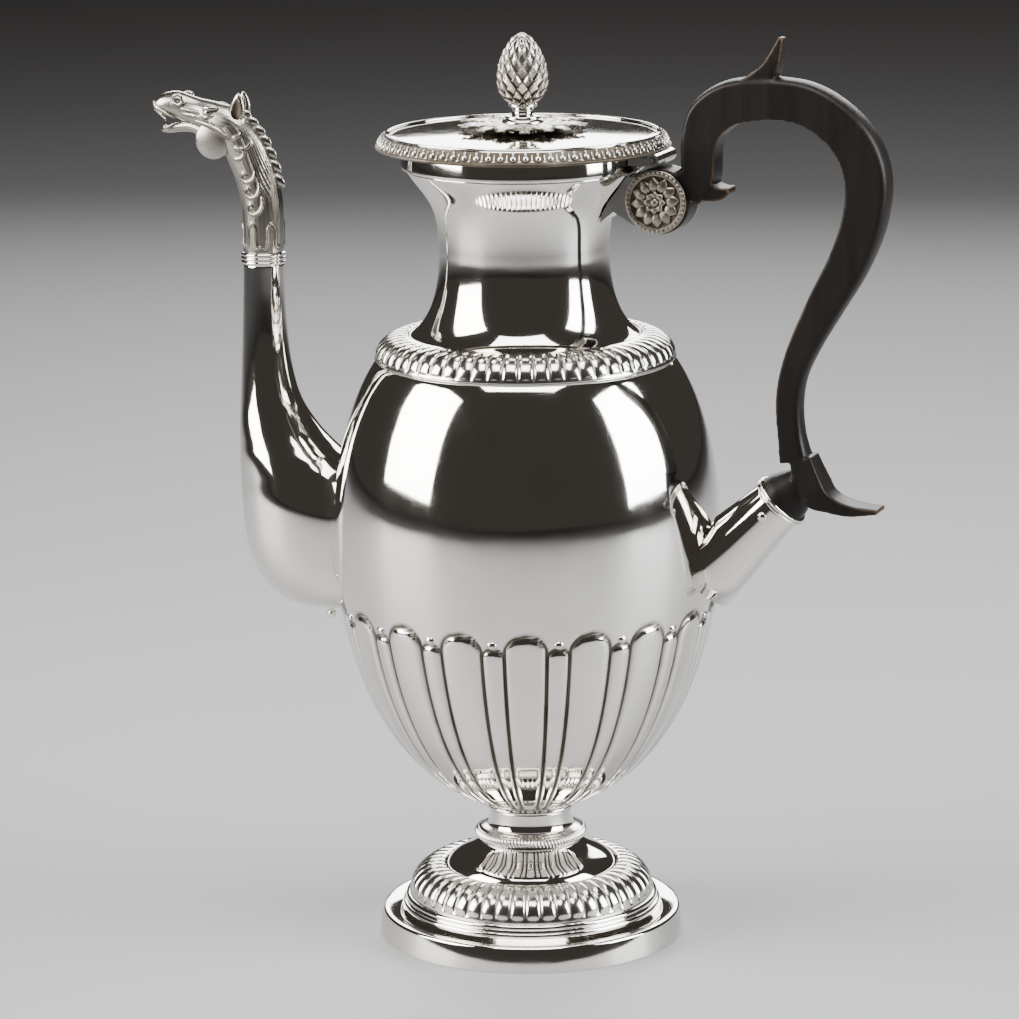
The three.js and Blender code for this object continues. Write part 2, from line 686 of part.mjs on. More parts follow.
function horseHead() {
  const around = 12;
  const neck = skinned(neckStations.map((s) => oval(s.throat, s.mane, s.half, around)));
  const skull = skinned(headStations.map((s) => oval(s.jaw, s.brow, s.half, around)));
  let head = neck.add(skull);
  for (const side of [-1, 1]) {
    const cheek = new THREE.SphereGeometry(1, 12, 8);
    cheek.scale(7.6, 2.2, 6.9);
    cheek.translate(-17.2, side * 4.9, 37.4);
    cheek.scale(headSize, headSize, headSize);
    cheek.translate(-SPOUT_TOP_REACH, 0, headZ);
    head = head.add(solidFrom(cheek));
    const ear = new THREE.ConeGeometry(2, 10, 8);
    ear.rotateX(Math.PI / 2);
    ear.translate(-8.2, side * 4, 49.6);
    ear.scale(headSize, headSize, headSize);
    ear.translate(-SPOUT_TOP_REACH, 0, headZ);
    head = head.add(solidFrom(ear));
  }
  head = head.add(mane());
  const at = (forward, height) =>
    new THREE.Vector3(-SPOUT_TOP_REACH - headSize * forward, 0, headZ + headSize * height);
  const lowerBore = cylinderBetween(HEAD_BORE + 1, HEAD_BORE, at(0, -1), at(0.6, 27), 12);
  const middleBore = cylinderBetween(HEAD_BORE, HEAD_BORE - 0.6, at(0.6, 24), at(7.4, 41), 12);
  const mouth = boxSolid(
    [at(45, 0).x, -MOUTH_HALF_WIDTH, at(0, 44).z - MOUTH_HALF_HEIGHT],
    [at(5.5, 0).x, MOUTH_HALF_WIDTH, at(0, 44).z + MOUTH_HALF_HEIGHT],
  );
  const lips = skinned(
    [
      [45, 39.4, 50, 9],
      [37.5, 40.8, 47.6, 9],
      [32, 42.6, 46, 9],
    ].map(([forward, low, high, half]) => oval([forward, low], [forward, high], half, 12)),
  );
  return head.subtract(lowerBore).subtract(middleBore).subtract(mouth).subtract(lips);
}

// The hogged mane: a thin crest of pointed tufts down the back of the neck.
function mane() {
  const tufts = 7;
  const crest = new THREE.QuadraticBezierCurve(flat(-2.5, 47), flat(7, 36), flat(7.4, 13));
  const shape = new THREE.Shape();
  const start = crest.getPoint(0);
  shape.moveTo(start.x, start.y);
  for (let i = 0; i < tufts; i++) {
    const root = crest.getPoint(i / tufts);
    const next = crest.getPoint((i + 1) / tufts);
    const along = next.clone().sub(root).normalize();
    const tip = next.clone().add(flat(-along.y, along.x).multiplyScalar(2.3));
    shape.lineTo(tip.x, tip.y);
    shape.lineTo(next.x, next.y);
  }
  shape.lineTo(3, 13);
  shape.lineTo(-4, 42);
  const thickness = 2.6;
  const geometry = new THREE.ExtrudeGeometry(shape, { depth: thickness, bevelEnabled: false });
  geometry.rotateX(Math.PI / 2);
  geometry.translate(0, thickness / 2, 0);
  geometry.scale(headSize, headSize, headSize);
  geometry.translate(-SPOUT_TOP_REACH, 0, headZ);
  return solidFrom(geometry);
}

// ---------------------------------------------------------------- handle
// The wooden handle's S is laid out on the straight line from the drum to the socket: a share of the way
// down it, and a distance outwards. Each place has half the width in the plane of the S, and half the
// thickness across it.
const onSlope = (down, out) => [
  DRUM_REACH + Math.max(down, 0) * (SOCKET_REACH - DRUM_REACH) + out,
  -down * (drumZ - socketZ),
];
const atSocket = (out, up) => [SOCKET_REACH + out, socketZ + up - drumZ];
const handleStations = [
  { at: onSlope(-0.0308, 9.2), width: 6, thick: 5.3 },
  { at: onSlope(-0.0872, 13.8), width: 5.2, thick: 5.4 },
  { at: onSlope(-0.1692, 14.1), width: 5.3, thick: 5.5 },
  { at: onSlope(-0.2256, 15), width: 5.8, thick: 5.5 },
  { at: onSlope(-0.281, 17.6), width: 6.4, thick: 5.5 },
  { at: onSlope(-0.3262, 23.7), width: 6.4, thick: 5.5 },
  { at: onSlope(-0.3446, 31.7), width: 6.2, thick: 5.5 },
  { at: onSlope(-0.3477, 40.9), width: 5.9, thick: 5.5 },
  { at: onSlope(-0.3364, 49), width: 5.9, thick: 5.5 },
  { at: onSlope(-0.2995, 56.6), width: 5.9, thick: 5.5 },
  { at: onSlope(-0.2379, 63.6), width: 6.1, thick: 5.5 },
  { at: onSlope(-0.1621, 68.2), width: 6.3, thick: 5.5 },
  { at: onSlope(-0.0677, 70), width: 6.2, thick: 5.5 },
  { at: onSlope(0.0513, 66.24), width: 6, thick: 5.4 },
  { at: onSlope(0.1846, 55.63), width: 5.6, thick: 5 },
  { at: onSlope(0.3179, 42.81), width: 5, thick: 4.6 },
  { at: onSlope(0.4513, 30.4), width: 4.1, thick: 4.2 },
  { at: onSlope(0.5641, 21.25), width: 3.5, thick: 3.9 },
  { at: onSlope(0.6718, 15.12), width: 3.4, thick: 3.9 },
  { at: onSlope(0.7795, 11.38), width: 3.3, thick: 4.2 },
  { at: atSocket(3.6, 13), width: 4, thick: 5 },
  { at: atSocket(4.8, 8.6), width: 4.4, thick: 5.2 },
];
const CROWN = 1.7; // the handle's outer face is rounded up by this much

// A section with flat sides and a flat inner face; the outer face, away from the S's middle, is crowned.
function handleRow(at, along, width, thick, crown) {
  const outward = [-along[1], along[0]];
  const outline = [
    [width + crown, 0],
    [width + crown * 0.72, thick * 0.55],
    [width, thick],
    [-width, thick],
    [-width, -thick],
    [width, -thick],
    [width + crown * 0.72, -thick * 0.55],
  ];
  return outline.map(
    ([out, y]) => new THREE.Vector3(at[0] + outward[0] * out, y, drumZ + at[1] + outward[1] * out),
  );
}

function sweptWood(stations, crown, steps) {
  const path = new THREE.CatmullRomCurve3(
    stations.map((s) => new THREE.Vector3(s.at[0], s.at[1], 0)),
    false,
    "centripetal",
  );
  const sizes = new THREE.SplineCurve(stations.map((s) => flat(s.width, s.thick)));
  const rows = [];
  for (let i = 0; i <= steps; i++) {
    const t = i / steps;
    const place = path.getPoint(t);
    const along = path.getTangent(t);
    const size = sizes.getPoint(t);
    rows.push(handleRow([place.x, place.y], [along.x, along.y], size.x, size.y, crown));
  }
  return skinned(rows);
}

const drumCentre = [DRUM_REACH, drumZ];
const socketRingCentre = new THREE.Vector3(SOCKET_REACH, 0, socketZ);
const socketAxis = new THREE.Vector3(-Math.cos(SOCKET_TILT), 0, -Math.sin(SOCKET_TILT));
const onSocketAxis = (distance) => socketRingCentre.clone().addScaledVector(socketAxis, distance);
const socketPinPlace = onSocketAxis(7);

function addHandle() {
  const outY = DRUM_HALF_THICKNESS;
  const drum = rodAlongY(DRUM_RADIUS, ...drumCentre, -outY, outY, 28);
  const scroll = sweptWood(handleStations, CROWN, 34);
  // The small lip under the drum end, the thorn where the thumb rests, and the spur at the foot.
  const lip = sweptWood(
    [
      { at: [DRUM_REACH + 11.2, 6], width: 4.6, thick: 5.2 },
      { at: [DRUM_REACH + 17.2, 3.6], width: 3, thick: 5 },
      { at: [DRUM_REACH + 23.8, 4.1], width: 1.2, thick: 4.4 },
    ],
    0,
    4,
  );
  const thorn = sweptWood(
    [
      { at: [DRUM_REACH + 23.2, 34.5], width: 3.2, thick: 5.3 },
      { at: [DRUM_REACH + 31.7, 38.6], width: 3.4, thick: 4.9 },
      { at: [DRUM_REACH + 37.6, 44.2], width: 2.7, thick: 4.2 },
      { at: [DRUM_REACH + 41.2, 54.4], width: 1, thick: 2.6 },
    ],
    0.3,
    6,
  );
  const spurFrom = atSocket(6.6, 14);
  const spur = sweptWood(
    [
      { at: spurFrom, width: 3.6, thick: 5 },
      { at: atSocket(10.6, 3.6), width: 4.6, thick: 6 },
      { at: atSocket(16.6, -0.4), width: 2.7, thick: 5.4 },
      { at: atSocket(24.1, -2.1), width: 1.7, thick: 5.2 },
      { at: atSocket(33.1, -1.9), width: 0.8, thick: 4.8 },
    ],
    0.2,
    8,
  );
  const bulgeTop = onSocketAxis(-8.6);
  const bulge = cylinderBetween(5.2, SOCKET_RADIUS, bulgeTop, onSocketAxis(0), 20);
  const tenon = cylinderBetween(TENON_RADIUS, TENON_RADIUS, onSocketAxis(-1), onSocketAxis(TENON_LENGTH), 16);
  const upperHole = rodAlongY(HANDLE_PIN_RADIUS + PIN_CLEARANCE, ...drumCentre, -outY - 1, outY + 1, 12);
  const lowerHole = rodAlongY(
    HANDLE_PIN_RADIUS + PIN_CLEARANCE,
    socketPinPlace.x,
    socketPinPlace.z,
    -TENON_RADIUS - 2,
    TENON_RADIUS + 2,
    12,
  );
  const wood = [scroll, lip, thorn, spur, bulge, tenon].reduce((sum, part) => sum.add(part), drum);
  addPiece("handle_wood", wood.subtract(upperHole).subtract(lowerHole), ebonisedWood());
  addUpperMount();
  addSocket();
}

function addUpperMount() {
  const [x, z] = drumCentre;
  const earIn = DRUM_HALF_THICKNESS + EAR_CLEARANCE;
  const earOut = earIn + EAR_THICKNESS;
  // The saddle: two ears that hold the drum between them, on a block shaped to the neck.
  const block = skinned(
    [
      [x - 24.8, mouthRimZ - 21, mouthRimZ - 1.2],
      [x - 14.8, mouthRimZ - 13, mouthRimZ - 1.2],
      [x - 7.8, z - 8, mouthRimZ - 1.2],
      [x - 3, z - 7, z + 7],
    ].map(([reach, low, high]) => [
      new THREE.Vector3(reach, -earOut, low),
      new THREE.Vector3(reach, earOut, low),
      new THREE.Vector3(reach, earOut, high),
      new THREE.Vector3(reach, -earOut, high),
    ]),
  );
  const drumRoom = rodAlongY(DRUM_RADIUS + SOLDER_GAP, x, z, -earIn, earIn, 28);
  const neckRoom = turned([
    [0, neckZ],
    ...movedIn(neckCurve(), -SOLDER_GAP),
    [MOUTH_RIM_RADIUS, mouthTopZ],
    [0, mouthTopZ],
  ]);
  const pinRoom = rodAlongY(HANDLE_PIN_RADIUS + PIN_CLEARANCE, x, z, -earOut - 1, earOut + 1, 12);
  const ears = rodAlongY(EAR_RADIUS, x, z, -earOut, earOut, 28);
  const mount = block.add(ears).subtract(drumRoom).subtract(neckRoom);
  addPiece("handle_upper_mount", mount.subtract(pinRoom), silver());
  const faceOut = earOut + ROSETTE_BOSS;
  for (const [name, side] of [["rosette_front", -1], ["rosette_back", 1]]) {
    // A flower disc with a beaded edge, hollowed behind for the pin's riveted end.
    const disc = turned(
      [
        [0, 0.9],
        [HANDLE_PIN_RADIUS + 0.5, 0.9],
        [HANDLE_PIN_RADIUS + 0.5, 0],
        [EAR_RADIUS - 0.4, 0],
        [EAR_RADIUS - 0.7, 1.2],
        [EAR_RADIUS - 1.6, 0.8],
        [EAR_RADIUS - 3.2, 1.5],
        [4, 1.1],
        [0, ROSETTE_BOSS],
      ],
      24,
    );
    const stood = disc.rotate([side < 0 ? 90 : -90, 0, 0]);
    addPiece(name, stood.translate([x, side * (faceOut - ROSETTE_BOSS), z]), castSilver());
  }
  const rivet = rodAlongY(HANDLE_PIN_RADIUS, x, z, -earOut - 0.6, earOut + 0.6, 12);
  addPiece("handle_upper_pin", rivet, silver());
}

function addSocket() {
  const length = 42;
  const outside = cylinderBetween(
    SOCKET_RADIUS,
    SOCKET_ROOT_RADIUS,
    onSocketAxis(SOCKET_RING_WIDTH),
    onSocketAxis(length),
    24,
  );
  const inside = cylinderBetween(
    SOCKET_RADIUS - SOCKET_WALL,
    SOCKET_ROOT_RADIUS - SOCKET_WALL,
    onSocketAxis(SOCKET_RING_WIDTH - 1),
    onSocketAxis(length + 1),
    24,
  );
  const pinRoom = rodAlongY(
    HANDLE_PIN_RADIUS + PIN_CLEARANCE,
    socketPinPlace.x,
    socketPinPlace.z,
    -SOCKET_ROOT_RADIUS - 5,
    SOCKET_ROOT_RADIUS + 5,
    12,
  );
  const tube = outside.subtract(inside).subtract(bodyFilled(SOLDER_GAP));
  addPiece("handle_lower_socket", tube.subtract(pinRoom), silver());
  const ring = cylinderBetween(
    SOCKET_RING_RADIUS,
    SOCKET_RING_RADIUS,
    onSocketAxis(SOLDER_GAP),
    onSocketAxis(SOCKET_RING_WIDTH),
    24,
  );
  const ringHole = cylinderBetween(
    TENON_RADIUS + 0.2,
    TENON_RADIUS + 0.2,
    onSocketAxis(-1),
    onSocketAxis(SOCKET_RING_WIDTH + 1),
    24,
  );
  addPiece("handle_socket_ring", ring.subtract(ringHole), silver());
  const reach = SOCKET_RADIUS + 0.9;
  const pin = rodAlongY(HANDLE_PIN_RADIUS, socketPinPlace.x, socketPinPlace.z, -reach, reach, 12);
  addPiece("handle_lower_pin", pin, silver());
}

// ---------------------------------------------------------------- lid
function addLid() {
  const inner = LID_RADIUS - LID_BORDER_WIDTH;
  const plateEdge = LID_RADIUS - 3.6;
  const notch = rodAlongY(
    HINGE_RADIUS + 2 * SOLDER_GAP,
    hingeX,
    hingeZ,
    -HINGE_HALF_LENGTH - 0.6,
    HINGE_HALF_LENGTH + 0.6,
  );
  const border = turned([
    [inner, lidZ],
    [LID_RADIUS - 1, lidZ],
    [LID_RADIUS, lidZ + 1.4],
    [LID_RADIUS - 1, lidZ + 3.5],
    [plateEdge + 0.9, lidPlateZ - 0.2],
    [plateEdge + SOLDER_GAP, lidPlateZ - 0.2],
    [plateEdge + SOLDER_GAP, lidPlateZ - WALL - SOLDER_GAP],
    [inner, lidPlateZ - WALL - SOLDER_GAP],
  ]);
  addPiece("lid_leaf_border", border.subtract(notch), castSilver(), lid);
  addPiece(
    "lid_plate",
    turned([
      [STUD_RADIUS + STUD_CLEARANCE, lidCrownZ - WALL],
      [plateEdge * 0.5, lidCrownZ - WALL - LID_DOME * 0.25],
      [plateEdge, lidPlateZ - WALL],
      [plateEdge, lidPlateZ],
      [plateEdge * 0.5, lidCrownZ - LID_DOME * 0.25],
      [STUD_RADIUS + STUD_CLEARANCE, lidCrownZ],
    ]),
    silver(),
    lid,
  );
  const wire = 0.55;
  addPiece(
    "lid_wire",
    turned([
      [plateEdge - 2 * wire, lidPlateZ + 0.25],
      [plateEdge, lidPlateZ + 0.25],
      [plateEdge - wire, lidPlateZ + 1.2],
    ]),
    silver(),
    lid,
  );
  const bezelRadius = MOUTH_RADIUS - BEZEL_CLEARANCE;
  const bezelTop = lidPlateZ - WALL - 0.1;
  addPiece(
    "lid_bezel",
    turned([
      [bezelRadius - WALL, mouthTopZ - BEZEL_DEPTH],
      [bezelRadius, mouthTopZ - BEZEL_DEPTH],
      [bezelRadius, bezelTop],
      [bezelRadius - WALL, bezelTop],
    ]),
    silver(),
    lid,
  );
  addFinial();
}

function addFinial() {
  const hole = STUD_RADIUS + STUD_CLEARANCE;
  // Broad leaves round a flat middle: they scallop the outline.
  const leafSides = ROSETTE_LEAVES * 6;
  const leafEdge = (radius, height, angle) =>
    radius < 9 ? radius : radius * (0.82 + 0.18 * Math.abs(Math.cos((ROSETTE_LEAVES * angle) / 2)) ** 0.6);
  addPiece(
    "finial_leaf_rosette",
    turned(
      [
        [hole, rosetteZ - ROSETTE_GAP + 0.1],
        [6, rosetteZ - ROSETTE_GAP + 0.1],
        [9, rosetteZ],
        [ROSETTE_RADIUS, rosetteZ - LID_DOME * 0.3 + 0.2],
        [ROSETTE_RADIUS, rosetteZ + 1.6],
        [ROSETTE_RADIUS * 0.7, rosetteZ + 2.6],
        [7, rosetteZ + 2.2],
        [hole, rosetteZ + 2.2],
      ],
      leafSides,
      leafEdge,
    ),
    castSilver(),
    lid,
  );
  const spoolZ = rosetteZ + 2.2;
  const coneZ = spoolZ + SPOOL_HEIGHT;
  addPiece(
    "finial_spool",
    turned(
      [
        [hole, spoolZ],
        [SPOOL_RADIUS + 2.3, spoolZ],
        [SPOOL_RADIUS + 2.5, spoolZ + 0.8],
        [SPOOL_RADIUS + 0.3, spoolZ + 1.3],
        [SPOOL_RADIUS - 0.2, spoolZ + 2.6],
        [SPOOL_RADIUS + 0.3, coneZ - 1],
        [SPOOL_RADIUS + 1.3, coneZ - 0.7],
        [SPOOL_RADIUS + 1.3, coneZ],
        [hole, coneZ],
      ],
      16,
    ),
    silver(),
    lid,
  );
  const coneSide = bezier(
    [SPOOL_RADIUS + 0.6, coneZ],
    [CONE_RADIUS + 2.4, coneZ + CONE_HEIGHT * 0.34],
    [CONE_RADIUS - 0.4, coneZ + CONE_HEIGHT * 0.7],
    [0, coneZ + CONE_HEIGHT],
    7,
  );
  const threadDepth = 8;
  addPiece(
    "finial_pinecone",
    turned([[0, coneZ + threadDepth], [hole, coneZ + threadDepth], [hole, coneZ], ...coneSide], 18),
    castSilver(),
    lid,
  );
  const nutZ = lidCrownZ - WALL - 2.8;
  addPiece(
    "finial_stud",
    turned([[0, nutZ - 1.4], [STUD_RADIUS, nutZ - 1.4], [STUD_RADIUS, coneZ + 7], [0, coneZ + 7]], 12),
    silver(),
    lid,
  );
  const nutTop = nutZ + 2.4;
  const hexagon = turned([[0, nutZ], [4.4, nutZ], [4.4, nutTop], [0, nutTop]], 6);
  const thread = turned([[0, nutZ - 1], [hole, nutZ - 1], [hole, nutTop + 1], [0, nutTop + 1]], 12);
  addPiece("finial_nut", hexagon.subtract(thread), silver(), lid);
}

// ---------------------------------------------------------------- hinge
function addHinge() {
  const boreRoom = rodAlongY(
    HINGE_PIN_RADIUS + HINGE_PIN_CLEARANCE,
    hingeX,
    hingeZ,
    -HINGE_HALF_LENGTH - 1,
    HINGE_HALF_LENGTH + 1,
    12,
  );
  // The fixed leaf: two outer knuckles on a web that is soldered to the mouth rim.
  const webTop = hingeZ + 0.7;
  const web = boxSolid(
    [MOUTH_RIM_RADIUS - 1.6, -HINGE_HALF_LENGTH, hingeZ - 2],
    [hingeX - HINGE_RADIUS - 1, HINGE_HALF_LENGTH, webTop],
  );
  let leaf = web;
  for (const [from, to] of [
    [-HINGE_HALF_LENGTH, -HINGE_MIDDLE_HALF_LENGTH],
    [HINGE_MIDDLE_HALF_LENGTH, HINGE_HALF_LENGTH],
  ]) {
    leaf = leaf.add(rodAlongY(HINGE_RADIUS, hingeX, hingeZ, from, to));
    leaf = leaf.add(boxSolid([hingeX - HINGE_RADIUS - 1.2, from, hingeZ - 2], [hingeX, to, webTop]));
  }
  const rimRoom = turned([
    [0, mouthRimZ - 1],
    [MOUTH_RIM_RADIUS + SOLDER_GAP, mouthRimZ - 1],
    [MOUTH_RIM_RADIUS + SOLDER_GAP, mouthTopZ + 1],
    [0, mouthTopZ + 1],
  ]);
  addPiece("hinge_fixed_leaf", leaf.subtract(rimRoom).subtract(boreRoom), silver());
  // The lid's knuckle, between them, on a tongue under the lid's border.
  const half = HINGE_MIDDLE_HALF_LENGTH - KNUCKLE_GAP;
  const tongue = boxSolid([hingeX - HINGE_RADIUS - 0.6, -half, hingeZ], [hingeX, half, lidZ - 0.1]);
  const knuckle = rodAlongY(HINGE_RADIUS, hingeX, hingeZ, -half, half).add(tongue);
  addPiece("lid_hinge_knuckle", knuckle.subtract(boreRoom), silver(), lid);
  const pin = rodAlongY(
    HINGE_PIN_RADIUS,
    hingeX,
    hingeZ,
    -HINGE_HALF_LENGTH - 0.5,
    HINGE_HALF_LENGTH + 0.5,
    12,
  );
  addPiece("hinge_pin", pin, silver());
}

addFoot();
addBody();
addSpout();
addHandle();
addLid();
addHinge();

// The origin is under the middle of the whole object, between the muzzle and the handle's crest.
const bounds = new THREE.Box3().setFromObject(pot, true);
pot.position.x = -(bounds.min.x + bounds.max.x) / 2;

export default pot;
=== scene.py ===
# %% [markdown]
# A silver coffee pot with a horse's-head spout.
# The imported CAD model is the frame: every piece made here goes where that model says, and moves with
# the body it belongs to. The pot has two bodies, the pot itself and the lid on its hinge.

# %% Load the frame
import math

import bmesh
import bpy
from mathutils import Matrix, Vector


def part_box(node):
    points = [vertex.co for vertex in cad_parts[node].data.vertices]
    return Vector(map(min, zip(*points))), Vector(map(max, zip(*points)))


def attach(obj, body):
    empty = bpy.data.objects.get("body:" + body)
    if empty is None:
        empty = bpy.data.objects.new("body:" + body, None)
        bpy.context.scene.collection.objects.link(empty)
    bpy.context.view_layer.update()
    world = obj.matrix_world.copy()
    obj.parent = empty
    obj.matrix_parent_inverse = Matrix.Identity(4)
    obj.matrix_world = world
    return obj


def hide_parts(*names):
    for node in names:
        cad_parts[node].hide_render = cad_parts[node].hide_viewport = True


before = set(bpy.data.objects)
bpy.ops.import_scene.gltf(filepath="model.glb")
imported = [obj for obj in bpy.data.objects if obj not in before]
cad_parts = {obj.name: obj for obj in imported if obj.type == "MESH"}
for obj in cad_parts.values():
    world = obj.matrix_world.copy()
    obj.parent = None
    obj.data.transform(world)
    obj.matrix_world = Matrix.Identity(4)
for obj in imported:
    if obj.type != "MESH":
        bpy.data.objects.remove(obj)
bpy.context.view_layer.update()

# %% [markdown]
# Blender counts in metres, a silversmith in millimetres. All sizes below are millimetres, and each mesh is
# scaled once, when it is made. Heights and radii are read off the CAD nodes, so that nothing drifts.

# %% Measures from the frame
MM = 0.001


def low_high(node):
    low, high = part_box(node)
    return [v / MM for v in low], [v / MM for v in high]


def radius_of(node):
    low, high = low_high(node)
    return (high[1] - low[1]) / 2


def heights(node):
    low, high = low_high(node)
    return low[2], high[2]


rim_low, rim_high = low_high("mouth_rim")
AXIS_X = (rim_low[0] + rim_high[0]) / 2
print("the pot's axis is at x =", round(AXIS_X, 2), "mm")


def in_scene(name, data):
    """A new object in the scene that holds a mesh, a lamp or a camera."""
    thing = bpy.data.objects.new(name, data)
    bpy.context.scene.collection.objects.link(thing)
    return thing


# %% [markdown]
# The camera stands nearly a metre and a half away, higher than the pot and turned 21 degrees towards the
# handle. A long lens keeps the pot's sides nearly parallel.

# %% Camera
VIEW_AZIMUTH = math.radians(21)
CAMERA_DISTANCE = 1426
CAMERA_HEIGHT = 466
LENS = 152.87
PITCH = math.radians(12.61)
YAW = math.radians(0.241)
ROLL = math.radians(-0.70)

camera_data = bpy.data.cameras.new("camera")
camera_data.lens = LENS
camera_data.sensor_width = 36
camera_data.clip_end = 50
camera = in_scene("camera", camera_data)
camera.location = Vector((
    AXIS_X + CAMERA_DISTANCE * math.sin(VIEW_AZIMUTH),
    -CAMERA_DISTANCE * math.cos(VIEW_AZIMUTH),
    CAMERA_HEIGHT,
)) * MM
turned_view = Matrix.Rotation(VIEW_AZIMUTH + YAW, 4, "Z")
tilted = Matrix.Rotation(math.pi / 2 - PITCH, 4, "X")
rolled = Matrix.Rotation(ROLL, 4, "Z")
camera.rotation_euler = (turned_view @ tilted @ rolled).to_euler()
bpy.context.scene.camera = camera
print("camera at", [round(v, 3) for v in camera.location])

# %% [markdown]
# Node trees are easier to read as sums. Each Term holds a socket, and each operation on it adds one Math
# node, so a rule for a shape can be written as it would be on paper.

# %% Sums in node trees


class Term:
    def __init__(self, tree, socket):
        self.tree = tree
        self.socket = socket

    def step(self, operation, *others, first=None):
        node = self.tree.nodes.new("ShaderNodeMath")
        node.operation = operation
        items = [self, *others] if first is None else [first, self]
        for socket, item in zip(node.inputs, items):
            if isinstance(item, Term):
                self.tree.links.new(item.socket, socket)
            else:
                socket.default_value = item
        return Term(self.tree, node.outputs[0])

    def __add__(self, other):
        return self.step("ADD", other)

    def __sub__(self, other):
        return self.step("SUBTRACT", other)

    def __rsub__(self, other):
        return self.step("SUBTRACT", first=other)

    def __mul__(self, other):
        return self.step("MULTIPLY", other)

    def __truediv__(self, other):
        return self.step("DIVIDE", other)

    def __pow__(self, other):
        return self.step("POWER", other)

    def __abs__(self):
        return self.step("ABSOLUTE")

    def sine(self):
        return self.step("SINE")

    def cosine(self):
        return self.step("COSINE")

    def rounded(self):
        return self.step("ROUND")

    def at_least(self, other):
        return self.step("MAXIMUM", other)

    def at_most(self, other):
        return self.step("MINIMUM", other)

    def root(self):
        return self.step("SQRT")

    def angle_from(self, other):
        return self.step("ARCTAN2", other)


def node(tree, kind, **settings):
    made = tree.nodes.new(kind)
    for name, value in settings.items():
        setattr(made, name, value)
    return made


def linked(tree, source, target):
    tree.links.new(source.socket if isinstance(source, Term) else source, target)


# %% [markdown]
# A tree of Geometry Nodes is a recipe with named inputs. `grown` runs one on an object, keeps the result as
# a plain mesh and removes the modifier, so that nothing is left to compute when the scene is used.

# %% Growing a mesh with a tree


def new_tree(name, inputs):
    tree = bpy.data.node_groups.new(name, "GeometryNodeTree")
    tree.interface.new_socket("Geometry", in_out="INPUT", socket_type="NodeSocketGeometry")
    for label, kind in inputs:
        tree.interface.new_socket(label, in_out="INPUT", socket_type="NodeSocket" + kind)
    tree.interface.new_socket("Geometry", in_out="OUTPUT", socket_type="NodeSocketGeometry")
    start = node(tree, "NodeGroupInput")
    return tree, start


def closed_tree(tree, start, geometry):
    whole = node(tree, "GeometryNodeRealizeInstances")
    painted = node(tree, "GeometryNodeSetMaterial")
    end = node(tree, "NodeGroupOutput")
    linked(tree, geometry, whole.inputs[0])
    linked(tree, whole.outputs[0], painted.inputs["Geometry"])
    linked(tree, start.outputs["Material"], painted.inputs["Material"])
    linked(tree, painted.outputs[0], end.inputs[0])
    return tree


def shape_inputs(tree, start):
    """A tree's named numbers, a point's position, and the relief marked on it."""
    value = {s.name: Term(tree, s) for s in start.outputs if s.name not in ("Geometry", "Material", "")}
    place = node(tree, "ShaderNodeSeparateXYZ")
    linked(tree, node(tree, "GeometryNodeInputPosition").outputs[0], place.inputs[0])
    mark = node(tree, "GeometryNodeInputNamedAttribute", data_type="FLOAT")
    mark.inputs["Name"].default_value = "relief"
    return value, [Term(tree, s) for s in place.outputs], Term(tree, mark.outputs[0])


def raised_tree(tree, start, rise, groove):
    """Moves each point along its normal by the rise, and marks how deep in a groove it lies, for the painted
    shade and tarnish there.
    """
    push = node(tree, "ShaderNodeVectorMath", operation="SCALE")
    linked(tree, node(tree, "GeometryNodeInputNormal").outputs[0], push.inputs[0])
    linked(tree, rise, push.inputs["Scale"])
    kept = node(tree, "GeometryNodeStoreNamedAttribute", data_type="FLOAT", domain="POINT")
    kept.inputs["Name"].default_value = "groove"
    linked(tree, start.outputs["Geometry"], kept.inputs["Geometry"])
    linked(tree, groove, kept.inputs["Value"])
    moved = node(tree, "GeometryNodeSetPosition")
    linked(tree, kept.outputs[0], moved.inputs["Geometry"])
    linked(tree, push.outputs[0], moved.inputs["Offset"])
    return closed_tree(tree, start, moved.outputs[0])


def computed(piece, name):
    """The mesh that a piece's modifiers make of it."""
    graph = bpy.context.evaluated_depsgraph_get()
    mesh = bpy.data.meshes.new_from_object(piece.evaluated_get(graph), depsgraph=graph)
    mesh.name = name
    mesh.shade_smooth()
    return mesh


def grown(name, base, tree, **values):
    modifier = base.modifiers.new("grow", "NODES")
    modifier.node_group = tree
    wanted = {key.replace("_", " ").lower(): value for key, value in values.items()}
    for item in tree.interface.items_tree:
        if item.in_out == "INPUT" and item.name.lower() in wanted:
            modifier[item.identifier] = wanted.pop(item.name.lower())
    if wanted:
        raise ValueError(f"{tree.name} has no input {sorted(wanted)}")
    mesh = computed(base, name)
    base.modifiers.remove(modifier)
    bpy.data.objects.remove(base)
    return in_scene(name, mesh)


# %% [markdown]
# Most of a pot is turned work: a section in radius and height, spun about the axis. Corners are rounded a
# little, because a polished edge is never sharp, and the rounding is what catches the light.

# %% Outlines


def bend(start, start_pull, end_pull, end, steps):
    points = []
    for i in range(steps + 1):
        t = i / steps
        weights = ((1 - t) ** 3, 3 * t * (1 - t) ** 2, 3 * t * t * (1 - t), t ** 3)
        corners = (start, start_pull, end_pull, end)
        points.append(tuple(sum(w * c[k] for w, c in zip(weights, corners)) for k in (0, 1)))
    return points


